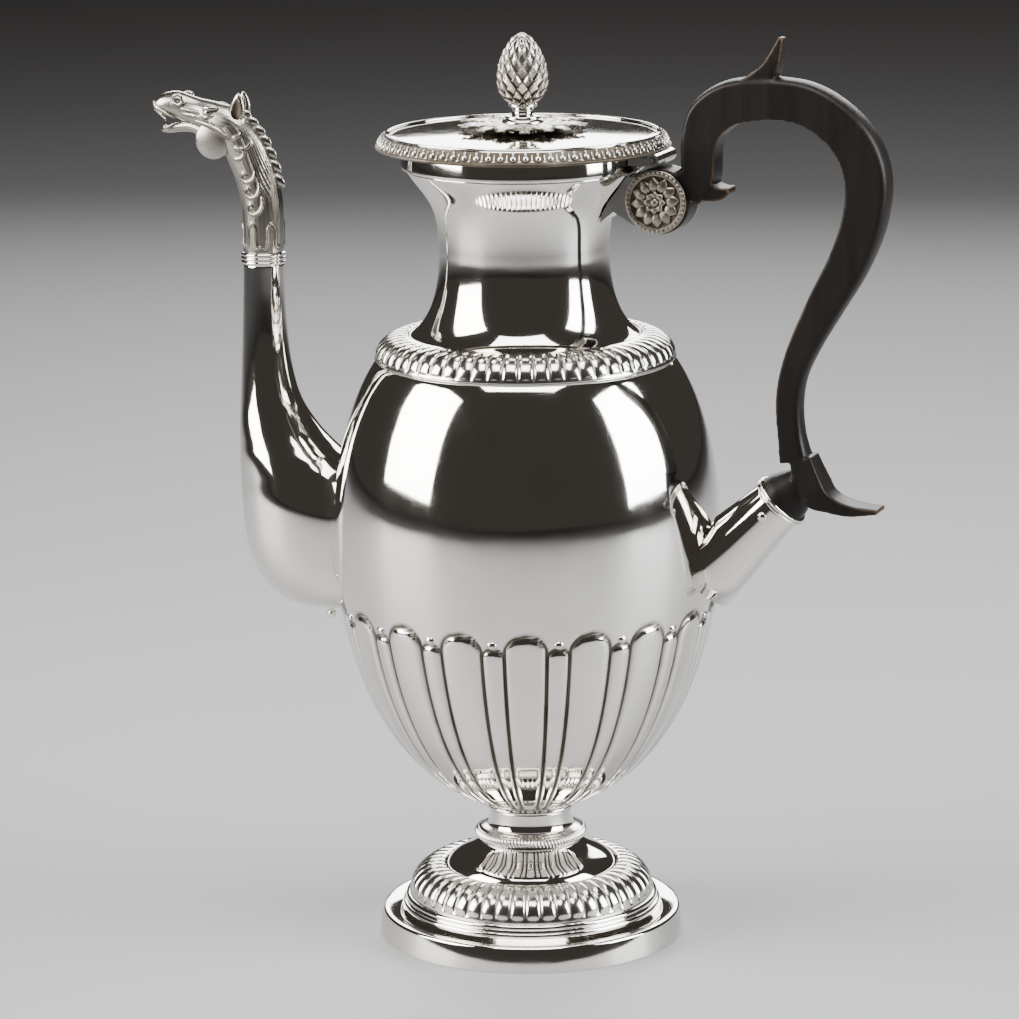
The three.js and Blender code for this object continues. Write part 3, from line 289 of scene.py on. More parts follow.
def softened(outline, steps=4):
    """Rounds the corners of a closed outline. A point is (radius, height) or (radius, height, rounding)."""
    result = []
    count = len(outline)
    for i, point in enumerate(outline):
        here = Vector(point[:2])
        if len(point) < 3:
            result.append(tuple(here))
            continue
        before = Vector(outline[i - 1][:2]) - here
        after = Vector(outline[(i + 1) % count][:2]) - here
        start = here + before.normalized() * min(point[2], before.length * 0.45)
        end = here + after.normalized() * min(point[2], after.length * 0.45)
        for k in range(steps + 1):
            t = k / steps
            result.append(tuple(start * (1 - t) ** 2 + here * 2 * t * (1 - t) + end * t * t))
    return result


def bulge(radius, low, high, depth, steps=8):
    """A reed: a half-round of silver wire, out to the radius between two heights."""
    middle, half = (low + high) / 2, (high - low) / 2
    angles = [math.pi * (i / steps - 0.5) for i in range(steps + 1)]
    return [(radius - depth + depth * math.cos(a), middle + half * math.sin(a)) for a in angles]


def moved_in(curve, distance):
    """The same curve, moved towards the axis when it runs upwards."""
    result = []
    for i, (r, z) in enumerate(curve):
        before, after = curve[max(i - 1, 0)], curve[min(i + 1, len(curve) - 1)]
        along = Vector((after[0] - before[0], after[1] - before[1])).normalized()
        result.append((r - distance * along.y, z + distance * along.x))
    return result


def evenly(curve, count):
    """Points at even distances along a curve."""
    lengths = [0.0]
    for a, b in zip(curve, curve[1:]):
        lengths.append(lengths[-1] + (Vector(b) - Vector(a)).length)
    result = []
    place = 0
    for i in range(count + 1):
        goal = lengths[-1] * i / count
        while place < len(lengths) - 2 and lengths[place + 1] < goal:
            place += 1
        share = (goal - lengths[place]) / (lengths[place + 1] - lengths[place])
        result.append(tuple(Vector(curve[place]).lerp(Vector(curve[place + 1]), share)))
    return result


# %% [markdown]
# Three ways to make a mesh: spin a section, skin a row of rings, and thicken a sheet of points. Each closes
# its surface and turns it right side out by the sign of its volume.

# %% Meshes


def new_piece(name, points, faces, marks=None):
    mesh = bpy.data.meshes.new(name)
    mesh.from_pydata([Vector(p) * MM for p in points], [], faces)
    if marks is not None:
        mesh.attributes.new("relief", "FLOAT", "POINT").data.foreach_set("value", marks)
    work = bmesh.new()
    work.from_mesh(mesh)
    if work.calc_volume(signed=True) < 0:
        bmesh.ops.reverse_faces(work, faces=work.faces)
    work.to_mesh(mesh)
    work.free()
    mesh.shade_smooth()
    return in_scene(name, mesh)


def spun(name, section, steps=144, centre_x=None, marks=None, angles=None):
    """Spins a section about a vertical axis. It closes on itself, or starts and ends on the axis."""
    centre = AXIS_X if centre_x is None else centre_x
    angles = angles or [math.tau * i / steps for i in range(steps)]
    count = len(angles)
    points, rows, point_marks = [], [], []
    for i, (r, z) in enumerate(section):
        turns = angles if r > 1e-6 else [0]
        rows.append(range(len(points), len(points) + len(turns)))
        points += [(centre + r * math.cos(a), r * math.sin(a), z) for a in turns]
        point_marks += [marks[i] if marks else 0.0] * len(turns)
    pairs = list(zip(rows, rows[1:]))
    if len(rows[0]) > 1 or len(rows[-1]) > 1:
        pairs.append((rows[-1], rows[0]))
    faces = []
    for low, high in pairs:
        for i in range(count):
            j = (i + 1) % count
            corners = (low[i % len(low)], low[j % len(low)], high[j % len(high)], high[i % len(high)])
            face = list(dict.fromkeys(corners))
            if len(face) > 2:
                faces.append(face)
    return new_piece(name, points, faces, point_marks if marks else None)


def skinned(name, rings):
    """Skins rings of points and closes both ends."""
    count = len(rings[0])
    points = [p for ring in rings for p in ring]
    faces = []
    for row in range(len(rings) - 1):
        for i in range(count):
            a, b = row * count + i, row * count + (i + 1) % count
            faces.append((a, b, b + count, a + count))
    for row in (0, len(rings) - 1):
        centre = len(points)
        points.append(sum((Vector(p) for p in rings[row]), Vector()) / count)
        for i in range(count):
            corner = (row * count + i, row * count + (i + 1) % count, centre)
            faces.append(corner if row else corner[::-1])
    return new_piece(name, points, faces)


def thickened(name, sheet, thickness):
    """A sheet of points, rows by columns, made into a closed plate that hangs below it."""
    rows, columns = len(sheet), len(sheet[0])
    top = [Vector(p) for row in sheet for p in row]
    points = top + [p - Vector((0, 0, thickness)) for p in top]
    under = len(top)
    faces = []
    for i in range(rows - 1):
        for j in range(columns - 1):
            a = i * columns + j
            face = (a, a + 1, a + columns + 1, a + columns)
            faces += [face, tuple(under + k for k in reversed(face))]
    edge = list(range(columns))
    edge += [i * columns + columns - 1 for i in range(1, rows)]
    edge += [(rows - 1) * columns + j for j in range(columns - 2, -1, -1)]
    edge += [i * columns for i in range(rows - 2, 0, -1)]
    for a, b in zip(edge, edge[1:] + edge[:1]):
        faces.append((b, a, under + a, under + b))
    return new_piece(name, points, faces)


def through(stations, steps):
    """A smooth run of values through stations, each a list of numbers (a Catmull-Rom curve)."""
    result = []
    last = len(stations) - 1
    for i in range(steps + 1):
        place = last * i / steps
        k = min(int(place), last - 1)
        t = place - k
        p0, p1 = stations[max(k - 1, 0)], stations[k]
        p2, p3 = stations[k + 1], stations[min(k + 2, last)]
        result.append([
            0.5 * (2 * b + (c - a) * t + (2 * a - 5 * b + 4 * c - d) * t * t
                   + (3 * b - a - 3 * c + d) * t ** 3)
            for a, b, c, d in zip(p0, p1, p2, p3)
        ])
    return result


def joined(name, pieces):
    work = bmesh.new()
    for piece in pieces:
        piece.data.transform(piece.matrix_basis)
        work.from_mesh(piece.data)
        bpy.data.objects.remove(piece)
    mesh = bpy.data.meshes.new(name)
    work.to_mesh(mesh)
    work.free()
    mesh.shade_smooth()
    return in_scene(name, mesh)


def fused(name, pieces, cell, smoothing):
    """Pieces that overlap become one skin, as in a casting: remeshed in small cells, then smoothed."""
    whole = joined(name, pieces)
    remesh = whole.modifiers.new("fuse", "REMESH")
    remesh.mode = "VOXEL"
    remesh.voxel_size = cell * MM
    smooth = whole.modifiers.new("smooth", "SMOOTH")
    smooth.factor = 0.5
    smooth.iterations = smoothing
    mesh = computed(whole, name)
    whole.modifiers.clear()
    whole.data = mesh
    return whole


# %% [markdown]
# Effects that several finishes share are node groups. Shade and tarnish is a darkening: painted shade that
# gathers in hollows, where shade falls, with the tarnish that sits there too, and a tarnish film that comes
# and goes over the surface. Handling is the fine unevenness that polishing by hand leaves.

# %% Shared effects


def new_effect(name, inputs, outputs):
    group = bpy.data.node_groups.new(name, "ShaderNodeTree")
    for label, kind in inputs:
        group.interface.new_socket(label, in_out="INPUT", socket_type="NodeSocket" + kind)
    for label, kind in outputs:
        group.interface.new_socket(label, in_out="OUTPUT", socket_type="NodeSocket" + kind)
    return group, node(group, "NodeGroupInput"), node(group, "NodeGroupOutput")


def noise_term(tree, scale, detail=3.0, stretch=(1, 1, 1)):
    place = node(tree, "ShaderNodeTexCoord")
    mapping = node(tree, "ShaderNodeMapping")
    mapping.inputs["Scale"].default_value = stretch
    pattern = node(tree, "ShaderNodeTexNoise")
    pattern.inputs["Detail"].default_value = detail
    linked(tree, place.outputs["Object"], mapping.inputs["Vector"])
    linked(tree, mapping.outputs[0], pattern.inputs["Vector"])
    if isinstance(scale, (int, float)):
        pattern.inputs["Scale"].default_value = scale
    else:
        linked(tree, scale, pattern.inputs["Scale"])
    return Term(tree, pattern.outputs["Fac"])


def mix_colours(tree, share, first, second):
    mix = node(tree, "ShaderNodeMix", data_type="RGBA")
    linked(tree, share, mix.inputs["Factor"])
    for value, socket in ((first, mix.inputs[6]), (second, mix.inputs[7])):
        if isinstance(value, tuple):
            socket.default_value = (*value, 1)
        else:
            linked(tree, value, socket)
    return mix.outputs[2]


tarnish, shade_and_tarnish_in, shade_and_tarnish_out = new_effect(
    "tarnish",
    [("Hollow", "Float"), ("Strength", "Float"), ("Clean", "Color"), ("Dark", "Color")],
    [("Color", "Color"), ("Mask", "Float")],
)
cloud = noise_term(tarnish, 55.0, 4.0)
speck = noise_term(tarnish, 600.0, 2.0)
hollow = Term(tarnish, shade_and_tarnish_in.outputs["Hollow"])
# Painted shade and tarnish in the hollows. The film below is tarnish alone.
in_hollow = (hollow * (cloud * 0.9 + 0.5)).at_most(1.0)
film = ((cloud - 0.52) * 1.6).at_least(0.0) * 0.25 + ((speck - 0.66) * 3.0).at_least(0.0) * 0.15
mask = ((in_hollow + film) * Term(tarnish, shade_and_tarnish_in.outputs["Strength"])).at_most(1.0)
linked(tarnish, mask, shade_and_tarnish_out.inputs["Mask"])
linked(
    tarnish,
    mix_colours(tarnish, mask, shade_and_tarnish_in.outputs["Clean"], shade_and_tarnish_in.outputs["Dark"]),
    shade_and_tarnish_out.inputs["Color"],
)

handling, handling_in, handling_out = new_effect("handling", [("Grain", "Float")], [("Height", "Float")])
waves = noise_term(handling, 42.0, 2.0)
rubbing = noise_term(handling, handling_in.outputs["Grain"], 2.0, stretch=(1, 1, 5))
linked(handling, waves * 0.8 + rubbing * 0.02, handling_out.inputs["Height"])
print("effects:", tarnish.name, handling.name)

# %% [markdown]
# Silver is a metal with a warm white colour. The plain walls are polished bright. The cast and chased
# ornament is a little duller. Its hollows are painted dark, with painted shade and with the tarnish where a
# cloth can't reach, which is what makes it read.

# %% Silver
CLEAN_SILVER = (0.87, 0.845, 0.80)
# The dark colour of the painted shade and tarnish.
DARK_SILVER = (0.10, 0.082, 0.062)


# The mark stored on the mesh that says where painted shade and tarnish gather.
def hollow_from_attribute(tree):
    return Term(tree, node(tree, "ShaderNodeAttribute", attribute_name="groove").outputs["Fac"])


def hollow_from_shape(tree):
    """How deep in a hollow a point lies, from the bending of a dense mesh. It drives painted shade and
    tarnish: flats get a little, and convex wires get none, so they stay clean and read as highlights.
    """
    pointed = Term(tree, node(tree, "ShaderNodeNewGeometry").outputs["Pointiness"])
    return ((0.507 - pointed) * 30.0).at_least(0.0).at_most(1.0)


def silver(name, roughness, dark_roughness, strength, hollow_source, bump=0.05, clean=CLEAN_SILVER, deep=0.0):
    material = bpy.data.materials.new(name)
    material.use_nodes = True
    tree = material.node_tree
    shader = tree.nodes["Principled BSDF"]
    shader.inputs["Metallic"].default_value = 1.0
    effect = node(tree, "ShaderNodeGroup", node_tree=tarnish)
    effect.inputs["Strength"].default_value = strength
    effect.inputs["Clean"].default_value = (*clean, 1)
    effect.inputs["Dark"].default_value = (*DARK_SILVER, 1)
    linked(tree, hollow_source(tree) + deep, effect.inputs["Hollow"])
    linked(tree, effect.outputs["Color"], shader.inputs["Base Color"])
    uneven = noise_term(tree, 130.0, 3.0)
    shown = Term(tree, effect.outputs["Mask"]) * dark_roughness + uneven * 0.05 + (roughness - 0.025)
    linked(tree, shown.at_least(0.02), shader.inputs["Roughness"])
    touch = node(tree, "ShaderNodeGroup", node_tree=handling)
    touch.inputs["Grain"].default_value = 900.0
    raised = node(tree, "ShaderNodeBump")
    raised.inputs["Strength"].default_value = bump
    raised.inputs["Distance"].default_value = 0.001
    linked(tree, touch.outputs["Height"], raised.inputs["Height"])
    linked(tree, raised.outputs[0], shader.inputs["Normal"])
    return material


POLISHED = silver("polished_silver", 0.055, 0.35, 0.6, hollow_from_attribute, bump=0.10)
CHASED = silver("chased_silver", 0.15, 0.4, 1.0, hollow_from_attribute, bump=0.06, clean=(0.78, 0.755, 0.71))
LOBED = silver("lobed_silver", 0.055, 0.35, 0.95, hollow_from_attribute, bump=0.10)
# The horse's head is a darker copy of the silver. Its dark base colour and its deep darkening are painted
# shade, standing in for the dark reflections the head shows, and its hollows get painted shade from the
# mesh's bending.
SHADED_CAST = silver("cast_silver", 0.2, 0.4, 1.0, hollow_from_shape, clean=(0.40, 0.375, 0.34), deep=0.04)
DULL = silver("dull_silver", 0.2, 0.4, 1.0, hollow_from_attribute, clean=(0.66, 0.63, 0.585))
OXIDISED = silver("oxidised_silver", 0.22, 0.4, 1.0, hollow_from_shape, clean=(0.42, 0.385, 0.33), deep=0.35)

# %% [markdown]
# The handle is a fruitwood stained black and waxed. On its corners the hand has worn the stain through to
# brown, and a close look shows the grain running up the scroll.

# %% Ebonised wood


def ebonised(name):
    material = bpy.data.materials.new(name)
    material.use_nodes = True
    tree = material.node_tree
    shader = tree.nodes["Principled BSDF"]
    grain = noise_term(tree, 260.0, 5.0, stretch=(1.0, 1.0, 0.12))
    patches = noise_term(tree, 34.0, 3.0)
    stain = mix_colours(tree, grain, (0.004, 0.0034, 0.003), (0.012, 0.0095, 0.008))
    pointed = Term(tree, node(tree, "ShaderNodeNewGeometry").outputs["Pointiness"])
    edge = ((pointed - 0.515) * 14.0).at_least(0.0).at_most(1.0)
    rubbed = (edge * ((patches - 0.42) * 5.0).at_least(0.0).at_most(1.0)) * (grain * 0.8 + 0.2)
    colour = mix_colours(tree, rubbed.at_most(1.0), stain, (0.20, 0.105, 0.045))
    linked(tree, colour, shader.inputs["Base Color"])
    linked(tree, grain * 0.16 + patches * 0.12 + 0.28, shader.inputs["Roughness"])
    shader.inputs["Specular IOR Level"].default_value = 0.14
    shader.inputs["Coat Weight"].default_value = 0.04
    shader.inputs["Coat Roughness"].default_value = 0.22
    raised = node(tree, "ShaderNodeBump")
    raised.inputs["Strength"].default_value = 0.22
    raised.inputs["Distance"].default_value = 0.0006
    linked(tree, grain, raised.inputs["Height"])
    linked(tree, raised.outputs[0], shader.inputs["Normal"])
    return material


EBONISED = ebonised("ebonised_wood")

# %% [markdown]
# Every finished piece says which body it rides on and which CAD nodes it stands for, and gets its material.

# %% Placing a finished piece


def finished(piece, body, slot, material, *nodes):
    piece.data.materials.clear()
    piece.data.materials.append(material)
    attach(piece, body)
    if nodes:
        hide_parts(*nodes)
    triangles = sum(len(p.vertices) - 2 for p in piece.data.polygons)
    print(f"{piece.name}: {triangles} triangles, size", [round(v / MM, 1) for v in piece.dimensions])
    return piece


def polished(piece, body, *nodes):
    return finished(piece, body, "polished_silver", POLISHED, *nodes)


# %% [markdown]
# Gadroons, and the milled edge of the ring on the stem, are one rule: ribs round the axis, cut into a spun
# band. The spun mesh carries a mark, relief, that says where the ribs may bite, and the tree leaves a second
# one, which darkens the finish in the ribs' grooves with painted shade and tarnish.

# %% A tree for ribs
# Painted shade and tarnish leave alone the top share of a rib, so its crest stays bright.
BRIGHT_SHARE = 0.35  # of a rib's depth, from its top, that tarnish leaves alone
GROOVE_DARKNESS = 1.5
GADROON_FULLNESS = 0.32  # the power that a rib's wave is raised to: lower is rounder and fuller


def ribs_tree():
    tree, start = new_tree("ribs_round_axis", [
        ("Axis X", "Float"), ("Count", "Float"), ("Depth", "Float"),
        ("Twist", "Float"), ("Fullness", "Float"), ("Material", "Material"),
    ])
    value, (x, y, z), relief = shape_inputs(tree, start)
    angle = y.angle_from(x - value["Axis X"])
    wave = abs((angle * value["Count"] / 2.0 + z * value["Twist"]).sine()) ** value["Fullness"]
    low = (1.0 - wave) * relief
    # Below the bright top share, each groove is painted dark with painted shade and tarnish.
    groove = (low - BRIGHT_SHARE).at_least(0.0) * GROOVE_DARKNESS
    return raised_tree(tree, start, low * value["Depth"] * -1.0, groove)


RIBS = ribs_tree()


def faded_marks(steps, start, end):
    """Full relief along a band, falling to none at its two edges."""
    return [min(1.0, start * i / steps, end * (steps - i) / steps) for i in range(steps + 1)]


def ribbed(name, section, marks, count, depth, fullness, columns=10, twist=0.0, material=CHASED):
    base = spun(name + "_base", section, steps=count * columns, marks=marks)
    return grown(
        name, base, RIBS, axis_x=AXIS_X * MM, count=float(count), depth=depth * MM,
        twist=twist / MM, fullness=fullness, material=material,
    )


# %% [markdown]
# The foot is built up in rings, as a silversmith solders it: a plain plinth, a double reed, a gadroon band,
# a domed cap, a milled ring, a waisted stem and a collar under the body.

# %% Foot: plinth and reeds
plinth_radius = radius_of("foot_plinth")
plinth_low, plinth_top = heights("foot_plinth")
reeds_radius = radius_of("foot_reeded_step")
reeds_top = heights("foot_reeded_step")[1]
plinth_section = softened([
    (plinth_radius - 4, plinth_low),
    (plinth_radius, plinth_low, 0.25),
    (plinth_radius - 1.5, plinth_top - 0.6, 0.3),
    (plinth_radius - 2.1, plinth_top, 0.3),
    (reeds_radius - 3, plinth_top),
    (reeds_radius - 3, plinth_top - 1.2),
    (plinth_radius - 4, plinth_top - 1.2),
    (plinth_radius - 2.4, 1.5),
    (plinth_radius - 4, 1.5),
])
polished(spun("plinth", plinth_section, 192), "pot", "foot_plinth")
reed = (reeds_top - plinth_top) / 2
reed_section = [
    (reeds_radius - 3, plinth_top),
    (reeds_radius, plinth_top),
    *bulge(reeds_radius, plinth_top + 0.3, plinth_top + reed, 0.8),
    *bulge(reeds_radius - 1, plinth_top + reed, reeds_top, 1.2),
    (reeds_radius - 3.4, reeds_top),
]
polished(spun("foot_reeds", reed_section, 192), "pot", "foot_reeded_step")

# %% Foot: gadroon band
FOOT_GADROONS = 50
BAND_STEPS = 22
band_low, band_top = heights("foot_gadroon_band")
band_radius = radius_of("foot_gadroon_band")
dome_radius = radius_of("foot_dome")
band_curve = bend(
    (band_radius, band_low + 1.2),
    (band_radius + 1.0, band_low + (band_top - band_low) * 0.55),
    (dome_radius + 6.5, band_top + 0.6),
    (dome_radius + 1.2, band_top - 0.4),
    BAND_STEPS,
)
band_section = [
    (band_radius + 0.3, band_low), (band_radius + 0.4, band_low + 0.5), *band_curve,
    (dome_radius + 0.4, band_top - 0.6), (dome_radius + 0.4, band_top - 1.6),
    (band_radius - 3.5, band_low),
]
band_marks = [0, 0, *faded_marks(BAND_STEPS, 10, 11), 0, 0, 0]
foot_band = ribbed("foot_gadroons", band_section, band_marks, FOOT_GADROONS, 0.95, GADROON_FULLNESS)
finished(foot_band, "pot", "cast_silver", CHASED, "foot_gadroon_band")

# %% Foot: dome, stem and rings
ring_low, ring_top = heights("stem_knurled_ring")
ring_radius = radius_of("stem_knurled_ring")
stem_low, stem_top = heights("stem")
dome_curve = bend(
    (dome_radius, band_top - 1.2),
    (dome_radius - 2.2, band_top + 3.6),
    (ring_radius + 2, band_top + 3.4),
    (ring_radius - 2, ring_low),
    24,
)
dome_section = [*dome_curve, *reversed(moved_in(dome_curve, 1.0))]
polished(spun("foot_dome_cap", dome_section, 160), "pot", "foot_dome")
milled = bulge(ring_radius, ring_low + 0.2, ring_low + 3.3, 1.4, 12)
milled_cove = bend(
    (ring_radius - 1.6, ring_low + 3.4), (ring_radius - 2.2, ring_top - 0.6),
    (15.4, ring_top - 0.3), (14.6, ring_top), 8,
)
milled_section = [(12, ring_low), *milled, *milled_cove, (12, ring_top)]
milled_marks = [0, *[1.0 if 1 < i < 11 else 0.0 for i in range(13)], *[0] * 10]
MILLED_RIBS = 96
milled_ring = ribbed(
    "milled_ring", milled_section, milled_marks, MILLED_RIBS, 0.5, 0.6, columns=7, twist=0.9,
)
finished(milled_ring, "pot", "cast_silver", CHASED, "stem_knurled_ring")
stem_curve = bend((14.9, stem_low), (14.0, stem_low + 1.6), (14.0, stem_top - 2.2), (14.2, stem_top), 16)
stem_section = [*stem_curve, *reversed(moved_in(stem_curve, 1.2))]
polished(spun("waisted_stem", stem_section, 96), "pot", "stem")
collar_low, collar_top = heights("stem_collar")
collar_radius = radius_of("stem_collar")
collar_section = [
    (12, collar_low), *bulge(collar_radius, collar_low, collar_low + 1.9, 0.9),
    *bulge(collar_radius - 0.8, collar_low + 1.9, collar_top + 0.3, 0.6), (12, collar_top + 0.3),
]
polished(spun("body_collar", collar_section, 96), "pot", "stem_collar")

# %% [markdown]
# The body is the main piece, and its lower half follows a rule: eighteen wide lobes with round heads, and a
# narrow one between each two. The rule is the distance from a point to the edge of the lobe that it lies
# in. Just inside the edge the wall swells, and along the edge the chasing tool has left a thin line.

# %% A tree for the lobes
SWELL_SHARE = 0.14  # of the pitch, over which a lobe swells to its full height
LINE_WIDTH = 0.6  # of the chased line round a lobe
FULL_RELIEF_PITCH = 20.0  # where the lobes crowd closer than this, they flatten


def lobes_tree():
    tree, start = new_tree("lobes_round_body", [
        ("Axis X", "Float"), ("Pairs", "Float"), ("Wide Share", "Float"), ("Wide Head", "Float"),
        ("Narrow Head", "Float"), ("Relief", "Float"), ("Line", "Float"), ("Material", "Material"),
    ])
    value, place, outer = shape_inputs(tree, start)
    x, y, z = (term / MM for term in place)
    across = x - value["Axis X"]
    turn = y.angle_from(across) * value["Pairs"] / math.tau + 0.5
    share = turn - turn.rounded()
    pitch = (across * across + y * y).root() * math.tau / value["Pairs"]

    def inside(offset, half, head):
        full = head - half
        above = (z - full).at_least(0.0)
        return half - (offset * offset + above * above).root()

    wide = inside(share * pitch, pitch * value["Wide Share"] / 2.0, value["Wide Head"])
    narrow_half = pitch * (1.0 - value["Wide Share"]) / 2.0
    narrow = inside((abs(share) - 0.5) * pitch, narrow_half, value["Narrow Head"])
    depth_in = wide.at_least(narrow)
    swell = (depth_in / (pitch * SWELL_SHARE)).at_least(0.0).at_most(1.0)
    full = 1.0 - (1.0 - swell) * (1.0 - swell)
    line = depth_in / LINE_WIDTH
    thin = (line * line * -1.0).step("EXPONENT")
    fade = (pitch / FULL_RELIEF_PITCH).at_most(1.0).root()
    rise = (full * value["Relief"] - thin * value["Line"]) * outer * fade * MM
    # The chased line is painted dark, with painted shade and tarnish.
    return raised_tree(tree, start, rise, thin * outer * GROOVE_DARKNESS)


LOBES = lobes_tree()

# %% Body
body_low, body_high = heights("body_shell")
BODY_RADIUS = radius_of("body_shell")
SHOULDER_RADIUS = radius_of("shoulder_gadroon_band") - 0.3
shoulder_z = heights("shoulder_gadroon_band")[0] - 0.3
WIDEST_Z = body_low + 96.5
lower_curve = bend(
    (16.5, body_low), (46, body_low + 10.6), (BODY_RADIUS, body_low + 48.2), (BODY_RADIUS, WIDEST_Z), 300,
)
upper_curve = bend(
    (BODY_RADIUS, WIDEST_Z), (BODY_RADIUS, WIDEST_Z + 22.5),
    (SHOULDER_RADIUS + 8.6, shoulder_z - 11.5), (SHOULDER_RADIUS, shoulder_z), 100,
)
body_curve = [*lower_curve, *upper_curve[1:]]
LOBE_TOP = 124


def body_radius_at(z):
    """Radius of the plain body at a height."""
    for (r0, z0), (r1, z1) in zip(body_curve, body_curve[1:]):
        if z0 <= z <= z1:
            return r0 + (r1 - r0) * (z - z0) / max(z1 - z0, 1e-6)
    return 0.0


lobed = evenly([p for p in body_curve if p[1] < LOBE_TOP], 112)
plain = evenly([p for p in body_curve if p[1] >= LOBE_TOP - 0.5], 34)[1:]
shoulder_end = (38.6, body_high)
wall = evenly(moved_in([p for p in body_curve if p[1] > body_low + 1.5], 1.3), 24)
body_section = [
    (0, body_low), *lobed, *plain, shoulder_end, (37.4, body_high - 1), *reversed(wall), (0, wall[0][1]),
]
body_marks = [0, *[1.0] * (len(lobed) + len(plain)), *[0] * (len(wall) + 3)]
LOBE_PAIRS = 18
WIDE_SHARE = 0.65
WIDE_HEAD, NARROW_HEAD = 118.8, 114.0  # heights of the lobes' round heads
BEAD_Z = 115.4


def lobe_columns():
    """Angles of the mesh's columns, closer together where a lobe's edge runs."""
    spread = [0, 0.02, 0.045, 0.08, 0.14, 0.25, 0.5, 0.75, 0.86, 0.92, 0.955, 0.98]
    places = []
    for low, high in ((-WIDE_SHARE / 2, WIDE_SHARE / 2), (WIDE_SHARE / 2, 1 - WIDE_SHARE / 2)):
        places += [low + (high - low) * s for s in spread]
    return [
        (pair + place + 0.5) * math.tau / LOBE_PAIRS for pair in range(LOBE_PAIRS) for place in places
    ]


body_base = spun("body_base", body_section, marks=body_marks, angles=lobe_columns())
body = grown(
    "lobed_body", body_base, LOBES, axis_x=AXIS_X, pairs=float(LOBE_PAIRS), wide_share=WIDE_SHARE,
    wide_head=WIDE_HEAD, narrow_head=NARROW_HEAD, relief=0.85, line=0.7, material=LOBED,
)
finished(body, "pot", "polished_silver", LOBED, "body_shell")

# %% [markdown]
# A row of equal pieces round the axis is the other rule of this pot: the beads over the narrow lobes, the
# eggs and ribs of the lid's border, the finial's leaves, and the rosettes' petals and beads. One tree does
# them all.

# %% A tree for rows of copies


def ring_tree():
    tree, start = new_tree("copies_round_axis", [
        ("Piece", "Object"), ("Centre X", "Float"), ("Count", "Int"), ("Radius", "Float"),
        ("Height", "Float"), ("Lean", "Float"), ("First Turn", "Float"), ("Material", "Material"),
    ])
    names = ("Centre X", "Count", "Radius", "Height", "Lean", "First Turn")
    value = {name: Term(tree, start.outputs[name]) for name in names}
    index = Term(tree, node(tree, "GeometryNodeInputIndex").outputs[0])
    angle = index * math.tau / value["Count"] + value["First Turn"]
    place = node(tree, "ShaderNodeCombineXYZ")
    linked(tree, angle.cosine() * value["Radius"] + value["Centre X"], place.inputs[0])
    linked(tree, angle.sine() * value["Radius"], place.inputs[1])
    linked(tree, value["Height"], place.inputs[2])
    points = node(tree, "GeometryNodePoints")
    linked(tree, value["Count"], points.inputs["Count"])
    linked(tree, place.outputs[0], points.inputs["Position"])
    turn = node(tree, "ShaderNodeCombineXYZ")
    linked(tree, value["Lean"], turn.inputs[1])
    linked(tree, angle, turn.inputs[2])
    source = node(tree, "GeometryNodeObjectInfo")
    linked(tree, start.outputs["Piece"], source.inputs["Object"])
    copies = node(tree, "GeometryNodeInstanceOnPoints")
    linked(tree, points.outputs[0], copies.inputs["Points"])
    linked(tree, source.outputs["Geometry"], copies.inputs["Instance"])
    linked(tree, turn.outputs[0], copies.inputs["Rotation"])
    both = node(tree, "GeometryNodeJoinGeometry")
    linked(tree, start.outputs["Geometry"], both.inputs[0])
    linked(tree, copies.outputs[0], both.inputs[0])
    return closed_tree(tree, start, both.outputs[0])


RING = ring_tree()


def with_row(name, base, piece, count, radius, height, lean=0.0, first=0.0, centre=None, material=SHADED_CAST):
    """The base with a row of copies of a piece round the axis. The piece points along X, with Z up."""
    return grown(
        name, base, RING, piece=piece, centre_x=(AXIS_X if centre is None else centre) * MM, count=count,
        radius=radius * MM, height=height * MM, lean=lean, first_turn=first, material=material,
    )


def ball(name, size, columns=10, rows=7, centre=(0, 0, 0)):
    section = [(0.0, -1.0)]
    section += [(math.cos(a), math.sin(a)) for a in (math.pi * (i / rows - 0.5) for i in range(1, rows))]
    section += [(0.0, 1.0)]
    piece = spun(name, section, columns, centre_x=0)
    piece.data.transform(Matrix.Diagonal((*size, 1)))
    piece.data.transform(Matrix.Translation(Vector(centre) * MM))
    return piece


# %% Beads over the narrow lobes
bead = ball("bead_pattern", (0.7, 1.7, 1.3))
no_base = new_piece("bead_base", [], [])
beads = with_row(
    "lobe_beads", no_base, bead, LOBE_PAIRS, body_radius_at(BEAD_Z) + 0.1, BEAD_Z,
    lean=-0.12, material=CHASED,
)
finished(beads, "pot", "polished_silver", CHASED)
bpy.data.objects.remove(bead)

# %% [markdown]
# Above the body come a band of gadroons on the shoulder, the flaring neck and a plain upright rim.

# %% Shoulder, neck and rim
SHOULDER_GADROONS = 60
SHOULDER_STEPS = 20
neck_low, neck_top = heights("neck_shell")
shoulder_low, shoulder_top = heights("shoulder_gadroon_band")
shoulder_curve = bend(
    (SHOULDER_RADIUS + 0.2, shoulder_low + 1.0),
    (SHOULDER_RADIUS + 0.9, shoulder_low + 4.6),
    (46, shoulder_top + 0.2),
    (40.4, shoulder_top - 0.5),
    SHOULDER_STEPS,
)
shoulder_section = [
    (SHOULDER_RADIUS + 0.3, shoulder_low), (SHOULDER_RADIUS + 0.6, shoulder_low + 0.5), *shoulder_curve,
    (39.6, shoulder_top), (38.9, shoulder_top - 0.2), (38.9, shoulder_top - 1.6),
]
shoulder_marks = [0, 0, *faded_marks(SHOULDER_STEPS, 10, 10), 0, 0, 0]
shoulder = ribbed(
    "shoulder_gadroons", shoulder_section, shoulder_marks, SHOULDER_GADROONS, 0.9, GADROON_FULLNESS,
)
finished(shoulder, "pot", "cast_silver", CHASED, "shoulder_gadroon_band")

